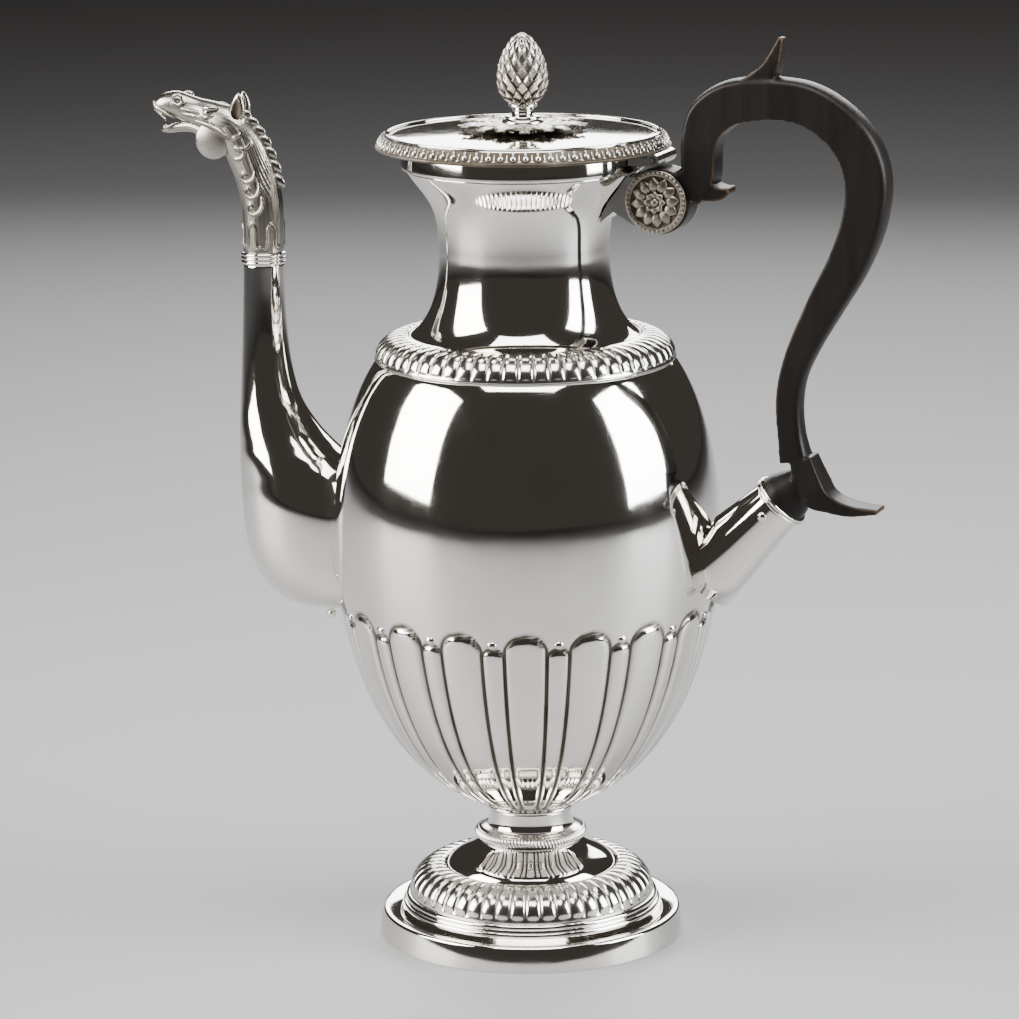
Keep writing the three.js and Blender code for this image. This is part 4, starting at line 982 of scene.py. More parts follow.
waist_z = neck_low + 29.5
neck_outside = [
    *bend((39.4, neck_low + 0.9), (28.6, neck_low + 6.5), (28.4, waist_z - 4), (28.6, waist_z), 26),
    *bend((28.6, waist_z), (28.6, waist_z + 17.6), (32.6, neck_top - 11), (39.6, neck_top), 26)[1:],
]
neck_inside = moved_in(neck_outside, 1.1)
neck_inside[-1] = (neck_inside[-1][0], neck_top)
neck_section = [*neck_outside, *reversed(neck_inside)]
polished(spun("neck", neck_section, 160), "pot", "neck_shell")
rim_low_z, rim_top_z = heights("mouth_rim")
RIM_RADIUS = radius_of("mouth_rim")
rim_section = softened([
    (38, rim_low_z), (RIM_RADIUS - 0.1, rim_low_z, 0.5), (RIM_RADIUS, rim_low_z + 0.9, 0.4),
    (RIM_RADIUS - 0.25, rim_top_z - 0.5, 0.4), (RIM_RADIUS - 0.7, rim_top_z, 0.4), (38, rim_top_z, 0.3),
])
polished(spun("mouth_band", rim_section, 160), "pot", "mouth_rim")

# %% [markdown]
# The spout is one long raised shape: a round belly low on the body, narrowing to an upright pipe. It is
# skinned through level ovals. Points that would fall inside the body are pressed onto its wall, which gives
# the line where the two are soldered.

# %% Spout
spout_low, spout_high = low_high("spout_tube")
SPOUT_REACH = 95.3
SPOUT_STEPS, SPOUT_SIDES = 130, 64
spout_x = AXIS_X - SPOUT_REACH
# Each oval: share of the height, reach of its front and of its back from the axis, and half its breadth.
spout_ovals = [
    (0.0, 82, 72, 2.5), (0.012, 87.5, 60, 7.5), (0.04, 93.2, 56, 11.6), (0.10, 98.9, 55, 16),
    (0.185, 102.4, 55, 18.8), (0.3, 104.1, 55.5, 19.3), (0.39, 104.5, 60, 18), (0.445, 104.6, 66.5, 16.6),
    (0.485, 104.6, 72.0, 15), (0.53, 104.6, 77.2, 13.2), (0.6, 104.3, 82.8, 10.7), (0.68, 103.9, 85.8, 9.1),
    (0.78, 103.3, 87.4, 8.0), (0.89, 102.7, 88.2, 7.3), (1.0, 102.2, 88.4, 6.9),
]


def on_wall(point):
    """Presses a point that lies inside the body onto the middle of its wall."""
    x, y, z = point
    across = Vector((x - AXIS_X, y))
    wall_radius = body_radius_at(z) - 0.7
    if across.length < wall_radius:
        across = across.normalized() * wall_radius
    return AXIS_X + across.x, across.y, z


spout_rings = []
for share, front, back, half in through(spout_ovals, SPOUT_STEPS):
    middle, depth = (front + back) / 2, (front - back) / 2
    z = spout_low[2] + max(0.0, min(1.0, share)) * (spout_high[2] - spout_low[2])
    ring = []
    for i in range(SPOUT_SIDES):
        a = math.tau * i / SPOUT_SIDES
        ring.append(on_wall((AXIS_X - middle - depth * math.cos(a), half * math.sin(a), z)))
    spout_rings.append(ring)
polished(skinned("spout", spout_rings), "pot", "spout_tube")
collar_low, collar_top = heights("spout_reeded_collar")
collar_radius = radius_of("spout_reeded_collar")
third = (collar_top - collar_low) / 3
spout_collar_section = [(4.6, collar_low)]
for i in range(3):
    spout_collar_section += bulge(collar_radius, collar_low + i * third, collar_low + (i + 1) * third, 0.7, 6)
spout_collar_section.append((4.6, collar_top))
spout_collar = spun("spout_collar", spout_collar_section, 72, centre_x=spout_x)
polished(spout_collar, "pot", "spout_reeded_collar")
drop_low, drop_high = low_high("spout_drop")
drop_middle = [(a + b) / 2 for a, b in zip(drop_low, drop_high)]
drop = ball("belly_drop", (1.5, 1.5, 1.7), 24, 16, (drop_middle[0], 0, drop_middle[2] + 0.5))
polished(drop, "pot", "spout_drop")

# %% [markdown]
# The horse's head is a casting. Its parts are laid over each other, as a modeller builds up wax: neck,
# skull and jaw, then cheeks, eyes, lips, nostrils, ears and teeth, then the mane. Then they are fused into
# one skin of small cells and smoothed, which rounds every joint as casting and chasing do.

# %% Horse's head: lofts
HEAD_Z = collar_top


def oval_ring(reach_low, low, reach_high, high, half, count=28, squareness=1.0):
    """An oval between two points of the side view, given by reach from the axis and height."""
    ring = []
    middle = Vector(((reach_low + reach_high) / 2, (low + high) / 2))
    arm = Vector(((reach_high - reach_low) / 2, (high - low) / 2))
    for i in range(count):
        a = math.tau * i / count
        up, side = math.cos(a), math.sin(a)
        up = math.copysign(abs(up) ** squareness, up)
        side = math.copysign(abs(side) ** squareness, side)
        centre = middle + arm * up
        ring.append((AXIS_X - centre.x, half * side, HEAD_Z + centre.y))
    return ring


neck_stations = [
    (102.2, 0, 88.3, 0, 6.9), (102.2, 9, 88.0, 9, 6.9), (102.7, 17, 88.3, 18.6, 6.7),
    (104.4, 24, 90.4, 27.8, 6.4), (106.9, 30, 93.4, 35.8, 6.2), (108.6, 34, 97.4, 41.8, 6.2),
    (109.6, 37, 102, 46.4, 6.0), (111, 39, 106, 48.6, 5.6),
]
skull_stations = [
    (101.5, 37, 100, 46, 4.8), (105.5, 36, 104.8, 49.0, 5.8), (109.3, 37.4, 108.8, 50.0, 5.8),
    (113.6, 39.5, 113.2, 50.9, 5.2), (117.6, 41.0, 117.6, 51.6, 4.4), (121.4, 42.3, 121.4, 52.6, 4.1),
    (126.0, 44.0, 126.0, 53.8, 4.3), (130.4, 45.4, 131.0, 53.0, 4.2), (133.8, 47.4, 134.4, 50.6, 3.0),
]
jaw_stations = [
    (110, 34, 110, 42, 4.8), (115.4, 37.6, 115.4, 43.6, 4.0), (120.4, 39.8, 120.4, 44.4, 3.3),
    (125.2, 39.8, 125.5, 43.5, 3.1), (128.6, 39.4, 129.0, 42.2, 3.3), (131.4, 39.6, 131.8, 41.2, 2.2),
]
head_parts = [
    skinned(name, [oval_ring(*values) for values in through(stations, steps)])
    for name, stations, steps in (
        ("horse_neck", neck_stations, 60),
        ("horse_skull", skull_stations, 48),
        ("horse_jaw", jaw_stations, 30),
    )
]

# %% Horse's head: cheeks, eyes, nostrils, teeth and ears


def head_place(reach, y, z):
    return Vector((AXIS_X - reach, y, HEAD_Z + z))


def head_ball(reach, y, z, size, columns=20, rows=14):
    return ball("head_part", size, columns, rows, head_place(reach, y, z))


def tapered_tube(points, radii, count=12, flatness=1.0, fine=5):
    """A round tube through points, given with a radius at each."""
    stations = [(*p, r) for p, r in zip(points, radii)]
    run = through(stations, fine * (len(points) - 1))
    rings = []
    for i, (x, y, z, radius) in enumerate(run):
        ahead = Vector(run[min(i + 1, len(run) - 1)][:3]) - Vector(run[max(i - 1, 0)][:3])
        side = ahead.cross(Vector((0, 1, 0)))
        side = side.normalized() if side.length > 1e-6 else Vector((1, 0, 0))
        other = ahead.cross(side).normalized() * flatness
        ring = []
        for k in range(count):
            a = math.tau * k / count
            ring.append(Vector((x, y, z)) + (side * math.cos(a) + other * math.sin(a)) * max(radius, 0.05))
        rings.append(ring)
    return skinned("head_part", rings)


def head_line(places, radius, side):
    """A raised line on the head, from (reach, distance from the middle, height) places."""
    points = [head_place(reach, side * y, z) for reach, y, z in places]
    radii = [radius * (0.45 if i in (0, len(points) - 1) else 1.0) for i in range(len(points))]
    return tapered_tube(points, radii, count=8)


TEETH = 6
NOSTRIL = (124.2, 51.3)
# Raised lines of the face: the radius, then places along the line.
FACE_LINES = (
    (0.5, [(115.4, 4.5, 46.7), (113.4, 5.3, 45.8), (110.8, 5.4, 46.5)]),  # lower lid
    (0.6, [(117.4, 5.0, 44.6), (112.6, 5.9, 43.6), (107.8, 6.3, 41.4), (104.4, 6.3, 38.6)]),  # cheekbone
    (0.42, [(123.0, 4.1, 48.4), (118.8, 4.3, 47.7), (115.6, 4.6, 46.9)]),  # two veins of the muzzle
    (0.42, [(122.6, 4.0, 46.6), (118.4, 4.2, 46.1), (115.2, 4.6, 45.4)]),
    (0.5, [(125.3, 3.6, 44.8), (128.8, 4.2, 46.4), (132.0, 4.1, 48.3), (134.2, 2.8, 50.5)]),  # upper lip
    (0.4, [(125.1, 3.2, 43.5), (128.0, 3.4, 42.1), (130.8, 2.9, 41.1)]),  # lower lip
)
EAR = [
    (103.4, 2.1, 42.5), (103.0, 2.4, 46), (102.6, 2.5, 49.5), (102.4, 2.3, 52.4), (102.3, 2.0, 54.4),
]
nostril = [
    (NOSTRIL[0] + 1.9 * math.cos(a), 4.3, NOSTRIL[1] + 1.7 * math.sin(a))
    for a in (k * math.pi / 4 for k in range(9))
]
for side in (-1, 1):
    head_parts += [
        head_ball(111.0, side * 5.0, 38.0, (6.5, 1.3, 6.5), 40, 24),  # the big flat cheek
        head_ball(112.0, side * 4.5, 48.9, (2.9, 1.4, 1.1)),  # brow
        head_ball(112.8, side * 4.8, 47.3, (1.5, 1.1, 1.25)),  # eye
    ]
    head_parts += [head_line(places, radius, side) for radius, places in FACE_LINES]
    head_parts.append(head_line(nostril, 0.62, side))
    ear_points = [head_place(reach, side * y, z) for reach, y, z in EAR]
    head_parts.append(tapered_tube(ear_points, [1.9, 2.8, 2.6, 1.6, 0.2], flatness=0.5))
    for i in range(TEETH):
        t = i / (TEETH - 1)
        reach, y, z = 133.9 - 4.8 * t, side * (1.6 + 1.9 * t), 47.5 - 3.0 * t
        head_parts.append(head_ball(reach, y, z, (0.5, 0.5, 0.75), 10, 7))
head_parts.append(head_ball(104.8, 0, 47.0, (3.6, 3.0, 2.9)))
for i in range(3):
    head_parts.append(head_ball(130.8 + 0.3 * i, 1.2 * (i - 1), 41.5, (0.5, 0.5, 0.7), 10, 7))

# %% [markdown]
# The mane is a crest of eight pointed tufts, like the teeth of a saw, with fine hair combed down beside it.
# Each side of the neck has three curls, with the edges of three scallops above them and of three lappets
# below, all drawn as raised wires.

# %% Horse's head: mane and curls
NECK_STEPS = 200
neck_run = through(neck_stations, NECK_STEPS)


def on_neck(share, angle, lift=0.0):
    """A point on the neck: share of the way up it, and angle round it from the crest."""
    low_x, low_z, high_x, high_z, half = neck_run[int(NECK_STEPS * max(0.0, min(1.0, share)))]
    middle = Vector(((low_x + high_x) / 2, (low_z + high_z) / 2))
    arm = Vector(((high_x - low_x) / 2, (high_z - low_z) / 2))
    centre = middle + arm * math.cos(angle) * (1 + lift / arm.length)
    return AXIS_X - centre.x, (half + lift) * math.sin(angle), HEAD_Z + centre.y


TUFTS = 8
for i in range(TUFTS):
    share = 0.36 + 0.56 * i / (TUFTS - 1)
    root = Vector(on_neck(share + 0.03, 0.0, -1.4))
    crown = Vector(on_neck(share + 0.01, 0.0, 0.5))
    outward = Vector(on_neck(share, 0.0, 1.0)) - Vector(on_neck(share, 0.0, 0.0))
    down = (Vector(on_neck(share - 0.08, 0.0)) - Vector(on_neck(share, 0.0))).normalized()
    tip = crown + outward * 1.5 + down * 2.6
    places = [root, crown, crown * 0.45 + tip * 0.55 + outward * 0.35, tip]
    head_parts.append(tapered_tube(places, [2.3, 1.9, 1.2, 0.15], flatness=0.6))

HAIRS = 7
CURL = [
    (2.6, 3.6), (2.5, 1.2), (1.2, -1.1), (-0.9, -1.7), (-2.7, -0.9),
    (-3.1, 0.8), (-1.9, 1.5), (-1.2, 0.5), (-1.9, 0.1),
]
LONG_SCALLOP = [(3.4, 1.6), (3.6, -1.0), (1.4, -2.4), (-1.2, -1.8), (-2.2, 0.2)]
SHORT_SCALLOP = [(2.8, 2), (3, -0.4), (1.2, -1.8), (-1.2, -1.2)]
LAPPET = [
    (-3.4, -3.4), (-2.0, -3.7), (-1.5, -1.5), (-1.4, 1.6), (0, 3.0),
    (1.4, 1.6), (1.5, -1.5), (2.0, -3.7), (3.4, -3.4),
]
# Each wire: share of the way up the neck, angle from the crest, outline and radius.
NECK_WIRES = (
    (0.25, 1.5, CURL, 0.42), (0.345, 1.5, CURL, 0.42), (0.44, 1.5, CURL, 0.42),
    (0.60, 1.75, SHORT_SCALLOP, 0.5), (0.66, 1.3, LONG_SCALLOP, 0.5), (0.76, 1.25, SHORT_SCALLOP, 0.5),
    (0.115, 0.75, LAPPET, 0.4), (0.115, 1.75, LAPPET, 0.4), (0.115, 2.75, LAPPET, 0.4),
)


def wire_on_neck(share, angle, outline, radius, side):
    points = [
        Vector(on_neck(share + up / 56, side * (angle - across / 7.2), 0.05)) for across, up in outline
    ]
    radii = [radius * (0.6 if i == 0 else 1.0) for i in range(len(points))]
    return tapered_tube(points, radii, count=8)


for side in (-1, 1):
    for i in range(HAIRS):
        start = 0.30 + 0.13 * i
        lines = [
            (0.97, start), (0.86, start * 0.8), (0.72, start * 0.85),
            (0.58 - 0.03 * i, start), (0.46 - 0.03 * i, start * 0.7),
        ]
        points = [Vector(on_neck(s, side * (a + 0.06), 0.0)) for s, a in lines]
        head_parts.append(tapered_tube(points, [0.3, 0.5, 0.5, 0.45, 0.15], count=6))
    for share, angle, outline, radius in NECK_WIRES:
        head_parts.append(wire_on_neck(share, angle, outline, radius, side))

head = fused("horse_casting", head_parts, 0.27, 1)
print("head fused:", len(head.data.polygons), "faces")

# %% Horse's head: mouth, nostrils and ears are cut in


def cut_out(piece, cutters):
    tool = joined("cutter", cutters)
    cut = piece.modifiers.new("cut", "BOOLEAN")
    cut.operation = "DIFFERENCE"
    cut.solver = "MANIFOLD"
    cut.object = tool
    mesh = computed(piece, piece.name)
    piece.modifiers.clear()
    piece.data = mesh
    bpy.data.objects.remove(tool)
    return piece


throat_cut = [(140, 42.7, 140, 46.7, 1.3), (129, 42.0, 129, 45.4, 1.5), (115, 41.8, 115, 45.3, 1.9)]
cutters = [skinned("cutter_part", [oval_ring(*v) for v in through(throat_cut, 12)])]
for side in (-1, 1):
    cutters.append(head_ball(NOSTRIL[0], side * 5.3, NOSTRIL[1], (1.2, 1.8, 1.0), 12, 8))
    ear_hollow = [head_place(reach, side * (y + 1.1), z) for reach, y, z in EAR[:4]]
    cutters.append(tapered_tube(ear_hollow, [0.3, 1.7, 1.7, 0.5], flatness=0.6))
head = cut_out(head, cutters)
finished(head, "pot", "cast_silver", SHADED_CAST, "horse_head")

# %% [markdown]
# The handle is one piece of wood: a disc held at the neck, a tall scroll with a thumb thorn, a thin waist and
# a spur where it enters its silver socket. It is a sweep of a section with flat sides and a crowned back,
# with the smaller scrolls fused to it, and its corners are only a little rounded.

# %% Handle
pin_low, pin_high = low_high("handle_upper_pin")
DRUM = ((pin_low[0] + pin_high[0]) / 2 - AXIS_X, (pin_low[2] + pin_high[2]) / 2)
SOCKET_TILT = math.pi / 4
CROWN = 1.7


def section_ring(x, z, along, width, thick, crown):
    outward = Vector((-along.y, along.x))
    outline = [(width + crown * math.cos(k * math.pi / 8) ** 0.8, thick * math.sin(k * math.pi / 8) * 0.96)
               for k in range(-3, 4)]
    outline = [
        (-width, -thick), (0, -thick), (width, -thick), *outline, (width, thick), (0, thick), (-width, thick),
    ]
    return [(AXIS_X + x + outward.x * out, y, z + outward.y * out) for out, y in outline]


def swept(name, stations, crown, steps):
    """Sweeps the handle's section. A station is reach, height over the drum's centre, and half the width
    and thickness."""
    run = through(stations, steps)
    rings = []
    for i, (x, z, width, thick) in enumerate(run):
        ahead = Vector(run[min(i + 1, steps)][:2]) - Vector(run[max(i - 1, 0)][:2])
        rings.append(section_ring(x, DRUM[1] + z, ahead.normalized(), width, thick, crown))
    return skinned(name, rings)


scroll = [
    (58, 3, 6, 5.3), (62.6, 8.5, 5.2, 5.3), (62.9, 16.5, 5.3, 5.4), (63.8, 22, 5.8, 5.5),
    (66.4, 27.4, 6.4, 5.5),
    (72.5, 31.8, 6.4, 5.5), (80.5, 33.6, 6.2, 5.5), (89.7, 33.9, 5.9, 5.5), (97.8, 32.8, 5.9, 5.5),
    (105.4, 29.2, 5.9, 5.5), (112.4, 23.2, 6.1, 5.5), (117, 15.8, 6.3, 5.5), (118.8, 6.6, 6.2, 5.5),
    (117.2, -5, 6, 5.4), (112.2, -18, 5.6, 5), (105, -31, 5, 4.6), (98.2, -44, 4.1, 4.2),
    (93.8, -55, 3.5, 3.9),
    (92.2, -65.5, 3.4, 3.9), (93, -76, 3.3, 4.2), (94.5, -84.5, 4, 5),
]
lip = [(60, 6, 4.6, 5.2), (66, 3.6, 3, 5), (70, 3.2, 2.0, 4.8), (72.8, 4.4, 0.9, 4.4)]
thorn = [(72, 34.5, 3.2, 5.3), (80.5, 38.6, 3.4, 4.9), (86.4, 44.2, 2.7, 4.2), (90, 54.4, 0.7, 2.4)]
SOCKET_X, SOCKET_Z = 90.9, WIDEST_Z + 14.4
spur = [
    (97.5, SOCKET_Z + 14, 3.6, 5), (101.5, SOCKET_Z + 3.6, 4.6, 6), (107.5, SOCKET_Z - 0.4, 2.7, 5.4),
    (115, SOCKET_Z - 2.1, 1.7, 5.2), (124, SOCKET_Z - 1.9, 0.7, 4.7),
]
spur = [(x, z - DRUM[1], w, t) for x, z, w, t in spur]
socket_axis = Vector((-math.cos(SOCKET_TILT), 0, -math.sin(SOCKET_TILT)))


def on_socket(distance):
    return Vector((AXIS_X + SOCKET_X, 0, SOCKET_Z)) + socket_axis * distance


def tilted_spin(name, section, steps=64):
    """Spins a section of (distance along the socket's axis, radius)."""
    side = Vector((0, 1, 0))
    up = socket_axis.cross(side)
    rings = []
    for distance, radius in section:
        ring = []
        for i in range(steps):
            a = math.tau * i / steps
            point = on_socket(distance) + (side * math.cos(a) + up * math.sin(a)) * radius
            ring.append(on_wall(tuple(point)))
        rings.append(ring)
    return skinned(name, rings)


wood_parts = [
    swept("scroll", scroll, CROWN, 220), swept("lip", lip, 0.0, 40),
    swept("thorn", thorn, 0.3, 50), swept("spur", spur, 0.2, 70),
]
drum_half = (pin_high[1] - pin_low[1]) / 2 - 2.1
drum_section = softened([(0, -drum_half), (11, -drum_half, 0.5), (11, drum_half, 0.5), (0, drum_half)])
drum = spun("drum", drum_section, 96, centre_x=0)
drum.data.transform(Matrix.Rotation(math.pi / 2, 4, "X"))
drum.data.transform(Matrix.Translation(Vector((AXIS_X + DRUM[0], 0, DRUM[1])) * MM))
wood_parts.append(drum)
wood_parts.append(tilted_spin("socket_end", [(-9.5, 5.0), (-6, 6.6), (-2.5, 8.3), (0.2, 8.9), (4, 7.2)]))
wood = fused("wooden_scroll", wood_parts, 0.5, 2)
finished(wood, "pot", "ebonised_wood", EBONISED, "handle_wood")

# %% [markdown]
# The lower socket is a plain tapering tube with a double reed at its mouth. It is pressed onto the body's
# wall like the spout.

# %% Lower socket
tube = tilted_spin("lower_socket", [
    (2.4, 8.0), (2.6, 8.9), (3.4, 9.0), (12, 9.9), (22, 11.2), (32, 12.4), (40, 13.3),
])
polished(tube, "pot", "handle_lower_socket")
reeds = [(0.3, 7.4)]
for start in (0.3, 1.5):
    reeds += [(start + 1.2 * (0.5 - 0.5 * math.cos(a)), 9.0 + 0.9 * math.sin(a))
              for a in (math.pi * i / 8 for i in range(9))]
reeds.append((2.8, 7.4))
polished(tilted_spin("socket_reeds", reeds), "pot", "handle_socket_ring")
rivet_low, rivet_high = low_high("handle_lower_pin")
rivet_x, rivet_z = (rivet_low[0] + rivet_high[0]) / 2, (rivet_low[2] + rivet_high[2]) / 2
rivet_parts = [
    ball("rivet_part", (1.6, 1.0, 1.6), 20, 12, (rivet_x, side * (rivet_high[1] - 0.9), rivet_z))
    for side in (-1, 1)
]
polished(joined("socket_rivet", rivet_parts), "pot", "handle_lower_pin")

# %% [markdown]
# A leaf is a sheet of points: its breadth follows its length, its edge may be cut into lobes, and a vein runs
# down the middle. The same rule, with other numbers, gives the finial's leaves and the rosettes' petals.

# %% Leaves


def grooved(piece, marks):
    """Marks for the painted shade and tarnish, one to a point: 1 is the bottom of a groove."""
    piece.data.attributes.new("groove", "FLOAT", "POINT").data.foreach_set("value", marks)


def leaf(name, length, breadth, arch, lift, rows, columns, cuts=0, cut_depth=0.0, vein=0.0, thickness=0.5,
         fullness=0.75, root=0.3, crumple=0.0):
    """A leaf along X. lift gives its height at quarters of its length."""
    lifts = through([(v,) for v in lift], rows)
    sheet, marks = [], []
    for i in range(rows + 1):
        t = i / rows
        shape = root * (1 - t) ** 2 + math.sin(math.pi * min(1, t * 0.97 + 0.03) ** fullness)
        notch = 1 - cut_depth * (0.5 + 0.5 * math.cos(math.tau * cuts * t)) if cuts else 1
        half = max(breadth / 2 * shape * notch, 0.05)
        row = []
        for j in range(columns + 1):
            v = 2 * j / columns - 1
            swept_back = 0.16 * breadth * abs(v) * (0.5 + 0.5 * math.sin(math.tau * cuts * t)) if cuts else 0
            z = lifts[i][0] + arch * (1 - v * v) * math.sin(math.pi * (0.1 + 0.8 * t))
            z -= vein * math.exp(-(v / 0.16) ** 2) * (1 - t)
            z += crumple * math.sin(math.tau * cuts * (t - 0.12 * abs(v))) * abs(v)
            row.append((length * t + swept_back, half * v, z))
            edge = 0.5 + 0.5 * math.sin(math.tau * cuts * t) if cuts else 0.4
            # The vein and the cut edges are painted dark, with painted shade and tarnish.
            marks.append(min(1.0, math.exp(-(v / 0.1) ** 2) * 0.8 + edge * abs(v) ** 1.5 + 0.1))
        sheet.append(row)
    piece = thickened(name, sheet, thickness)
    # The underside is marked fully dark: painted shade under the leaf.
    grooved(piece, marks + [1.0] * len(marks))
    return piece


# %% [markdown]
# At the top, a silver saddle on the neck holds the disc of the handle between two round rosettes. Each is
# a flower in a ring of beads.

# %% Rosettes
rosette_low, rosette_high = low_high("rosette_front")
ROSETTE_RADIUS = (rosette_high[0] - rosette_low[0]) / 2 + 0.5
disc_section = softened([
    (0, 0), (ROSETTE_RADIUS, 0, 0.2), (ROSETTE_RADIUS, 0.7, 0.3), (ROSETTE_RADIUS - 1.8, 0.7, 0.2),
    (ROSETTE_RADIUS - 2.0, 0.35), (3, 0.9), (0, 0.9),
])
disc = spun("rosette_disc", disc_section, 96, centre_x=0)
edge_bead = ball("edge_bead", (0.62, 0.62, 0.62), 8, 6)
petal = leaf("petal", 5.6, 3.5, 0.55, (0.2, 0.7, 0.75, 0.5, 0.2), 8, 6, vein=0.35, fullness=1.25)
small_petal = leaf("small_petal", 3.0, 2.3, 0.4, (0.4, 1.0, 1.1, 0.7), 6, 4, vein=0.3, fullness=1.2)
rosette = with_row("rosette", disc, edge_bead, 38, ROSETTE_RADIUS - 0.9, 0.75, centre=0)
rosette = with_row("rosette", rosette, petal, 12, 2.9, 0.35, centre=0, first=0.1)
rosette = with_row("rosette", rosette, small_petal, 8, 0.9, 0.8, centre=0)
boss = ball("boss", (1.5, 1.5, 1.1), 20, 10, (0, 0, 1.6))
rosette = joined("rosette", [rosette, boss])
for pattern in (edge_bead, petal, small_petal):
    bpy.data.objects.remove(pattern)
for side, name in ((-1, "front"), (1, "back")):
    inner_low, inner_high = low_high("rosette_" + name)
    face = abs(inner_low[1] if side > 0 else inner_high[1])
    copy = in_scene("rosette_flower_" + name, rosette.data.copy())
    copy.data.transform(Matrix.Rotation(-side * math.pi / 2, 4, "X"))
    copy.data.transform(Matrix.Translation(Vector((AXIS_X + DRUM[0], side * face, DRUM[1])) * MM))
    finished(copy, "pot", "cast_silver", OXIDISED, "rosette_" + name)
bpy.data.objects.remove(rosette)

# %% [markdown]
# The lid is a slightly domed mirror plate, with a bezel that drops into the mouth. Round it runs a border of
# eggs and ribs, which stand for small leaves.

# %% Lid plate and border


def shaded_below(piece, low=math.inf, high=math.inf):
    """Marks a piece for painted shade and tarnish: fully below the low height, and not at all above the high
    one, so its lower part is darker.
    """
    marks = []
    for vertex in piece.data.vertices:
        z = vertex.co.z / MM
        marks.append(1.0 if z < low else 0.0 if z >= high else (high - z) / (high - low))
    grooved(piece, marks)


LID_RADIUS = radius_of("lid_leaf_border")
lid_z = heights("lid_leaf_border")[0]
plate_top = heights("lid_plate")[1]
PLATE_RADIUS = radius_of("lid_plate")
plate_edge_z = heights("lid_wire")[0] - 0.25
border_section = softened([
    (LID_RADIUS - 6.5, lid_z), (LID_RADIUS - 1.2, lid_z, 0.3), (LID_RADIUS - 0.1, lid_z + 0.6, 0.3),
    (LID_RADIUS - 0.2, lid_z + 1.1, 0.2), (LID_RADIUS - 0.9, lid_z + 1.3, 0.2),
    (PLATE_RADIUS + 1.0, plate_edge_z - 0.5, 0.1), (PLATE_RADIUS + 0.8, plate_edge_z - 0.1, 0.2),
    (PLATE_RADIUS + 0.2, plate_edge_z - 0.1, 0.2), (PLATE_RADIUS + 0.2, plate_edge_z - 1.4),
    (LID_RADIUS - 6.5, plate_edge_z - 1.4),
])
border = spun("border_base", border_section, 210)
# The whole border base is marked dark: painted shade between and under the eggs and ribs.
shaded_below(border)
BORDER_LEAVES = 74
slope_run, slope_fall = (LID_RADIUS - 0.9) - (PLATE_RADIUS + 1.0), (plate_edge_z - 0.5) - (lid_z + 1.3)
slope_angle = math.atan2(slope_fall, slope_run)
slope_middle = (LID_RADIUS + PLATE_RADIUS + 0.1) / 2, (plate_edge_z + lid_z + 0.8) / 2
egg = joined("egg", [
    ball("egg_part", (1.25, 0.95, 0.75), 12, 8, (0.15, 0, 0.1)),
    ball("egg_part", (0.75, 0.4, 0.5), 8, 6, (-1.4, 0, 0.1)),
])
rib = joined("rib", [
    ball("rib_part", (1.75, 0.26, 0.55), 8, 6),
    ball("rib_part", (0.5, 0.6, 0.45), 8, 6, (1.35, 0, 0.1)),
])
# Each egg and rib is painted dark at its foot, as painted shade, so that its clean top reads as a highlight.
shaded_below(egg, 0.15, 0.55)
shaded_below(rib, 0.1, 0.4)
for piece, turn in ((egg, 0.0), (rib, math.pi / BORDER_LEAVES)):
    border = with_row(
        "lid_border", border, piece, BORDER_LEAVES, *slope_middle, lean=slope_angle, first=turn,
    )
    bpy.data.objects.remove(piece)
finished(border, "lid", "cast_silver", DULL, "lid_leaf_border")
plate_curve = [
    (PLATE_RADIUS * k / 14, plate_top - (plate_top - plate_edge_z) * (k / 14) ** 2) for k in range(14, -1, -1)
]
plate_section = [(0, plate_edge_z - 1.2), (PLATE_RADIUS, plate_edge_z - 1.2), *plate_curve]
polished(spun("lid_mirror_plate", plate_section, 192), "lid", "lid_plate")
wire_z = plate_edge_z + 0.35
wire_section = [(PLATE_RADIUS - 0.55 + 0.5 * math.cos(a), wire_z + 0.5 * math.sin(a))
                for a in (math.tau * i / 10 for i in range(10))]
polished(spun("lid_edge_wire", wire_section, 192), "lid", "lid_wire")
bezel_low, bezel_top = heights("lid_bezel")
bezel_radius = radius_of("lid_bezel")
bezel_section = softened([
    (bezel_radius - 1.2, bezel_low, 0.3), (bezel_radius, bezel_low, 0.4),
    (bezel_radius, bezel_top), (bezel_radius - 1.2, bezel_top),
])
polished(spun("lid_inner_bezel", bezel_section, 160), "lid", "lid_bezel")

# %% Finial: leaves and spool
leaves_low, leaves_top = heights("finial_leaf_rosette")
FINIAL_REACH = radius_of("finial_leaf_rosette")
FINIAL_LEAVES = 8
acanthus = leaf(
    "acanthus", FINIAL_REACH - 1.6, 12.0, 0.25, (0.9, 1.0, 0.95, 1.25, 0.75), 60, 14,
    cuts=6, cut_depth=0.36, vein=0.35, thickness=0.55, fullness=0.95, root=0.5, crumple=0.22,
)
finial_base = spun("finial_base", [
    (0, leaves_low + 0.2), (6.4, leaves_low + 0.2), (7.2, leaves_low + 1.6), (6.6, leaves_top - 0.2),
    (0, leaves_top),
], 64)
leaves = with_row("finial_leaves", finial_base, acanthus, FINIAL_LEAVES, 1.4, leaves_low + 0.95)
leaves = with_row(
    "finial_leaves", leaves, acanthus, FINIAL_LEAVES, 0.6, leaves_low + 0.45, first=math.pi / FINIAL_LEAVES,
)
bpy.data.objects.remove(acanthus)
finished(leaves, "lid", "cast_silver", DULL, "finial_leaf_rosette")
spool_low, spool_top = heights("finial_spool")
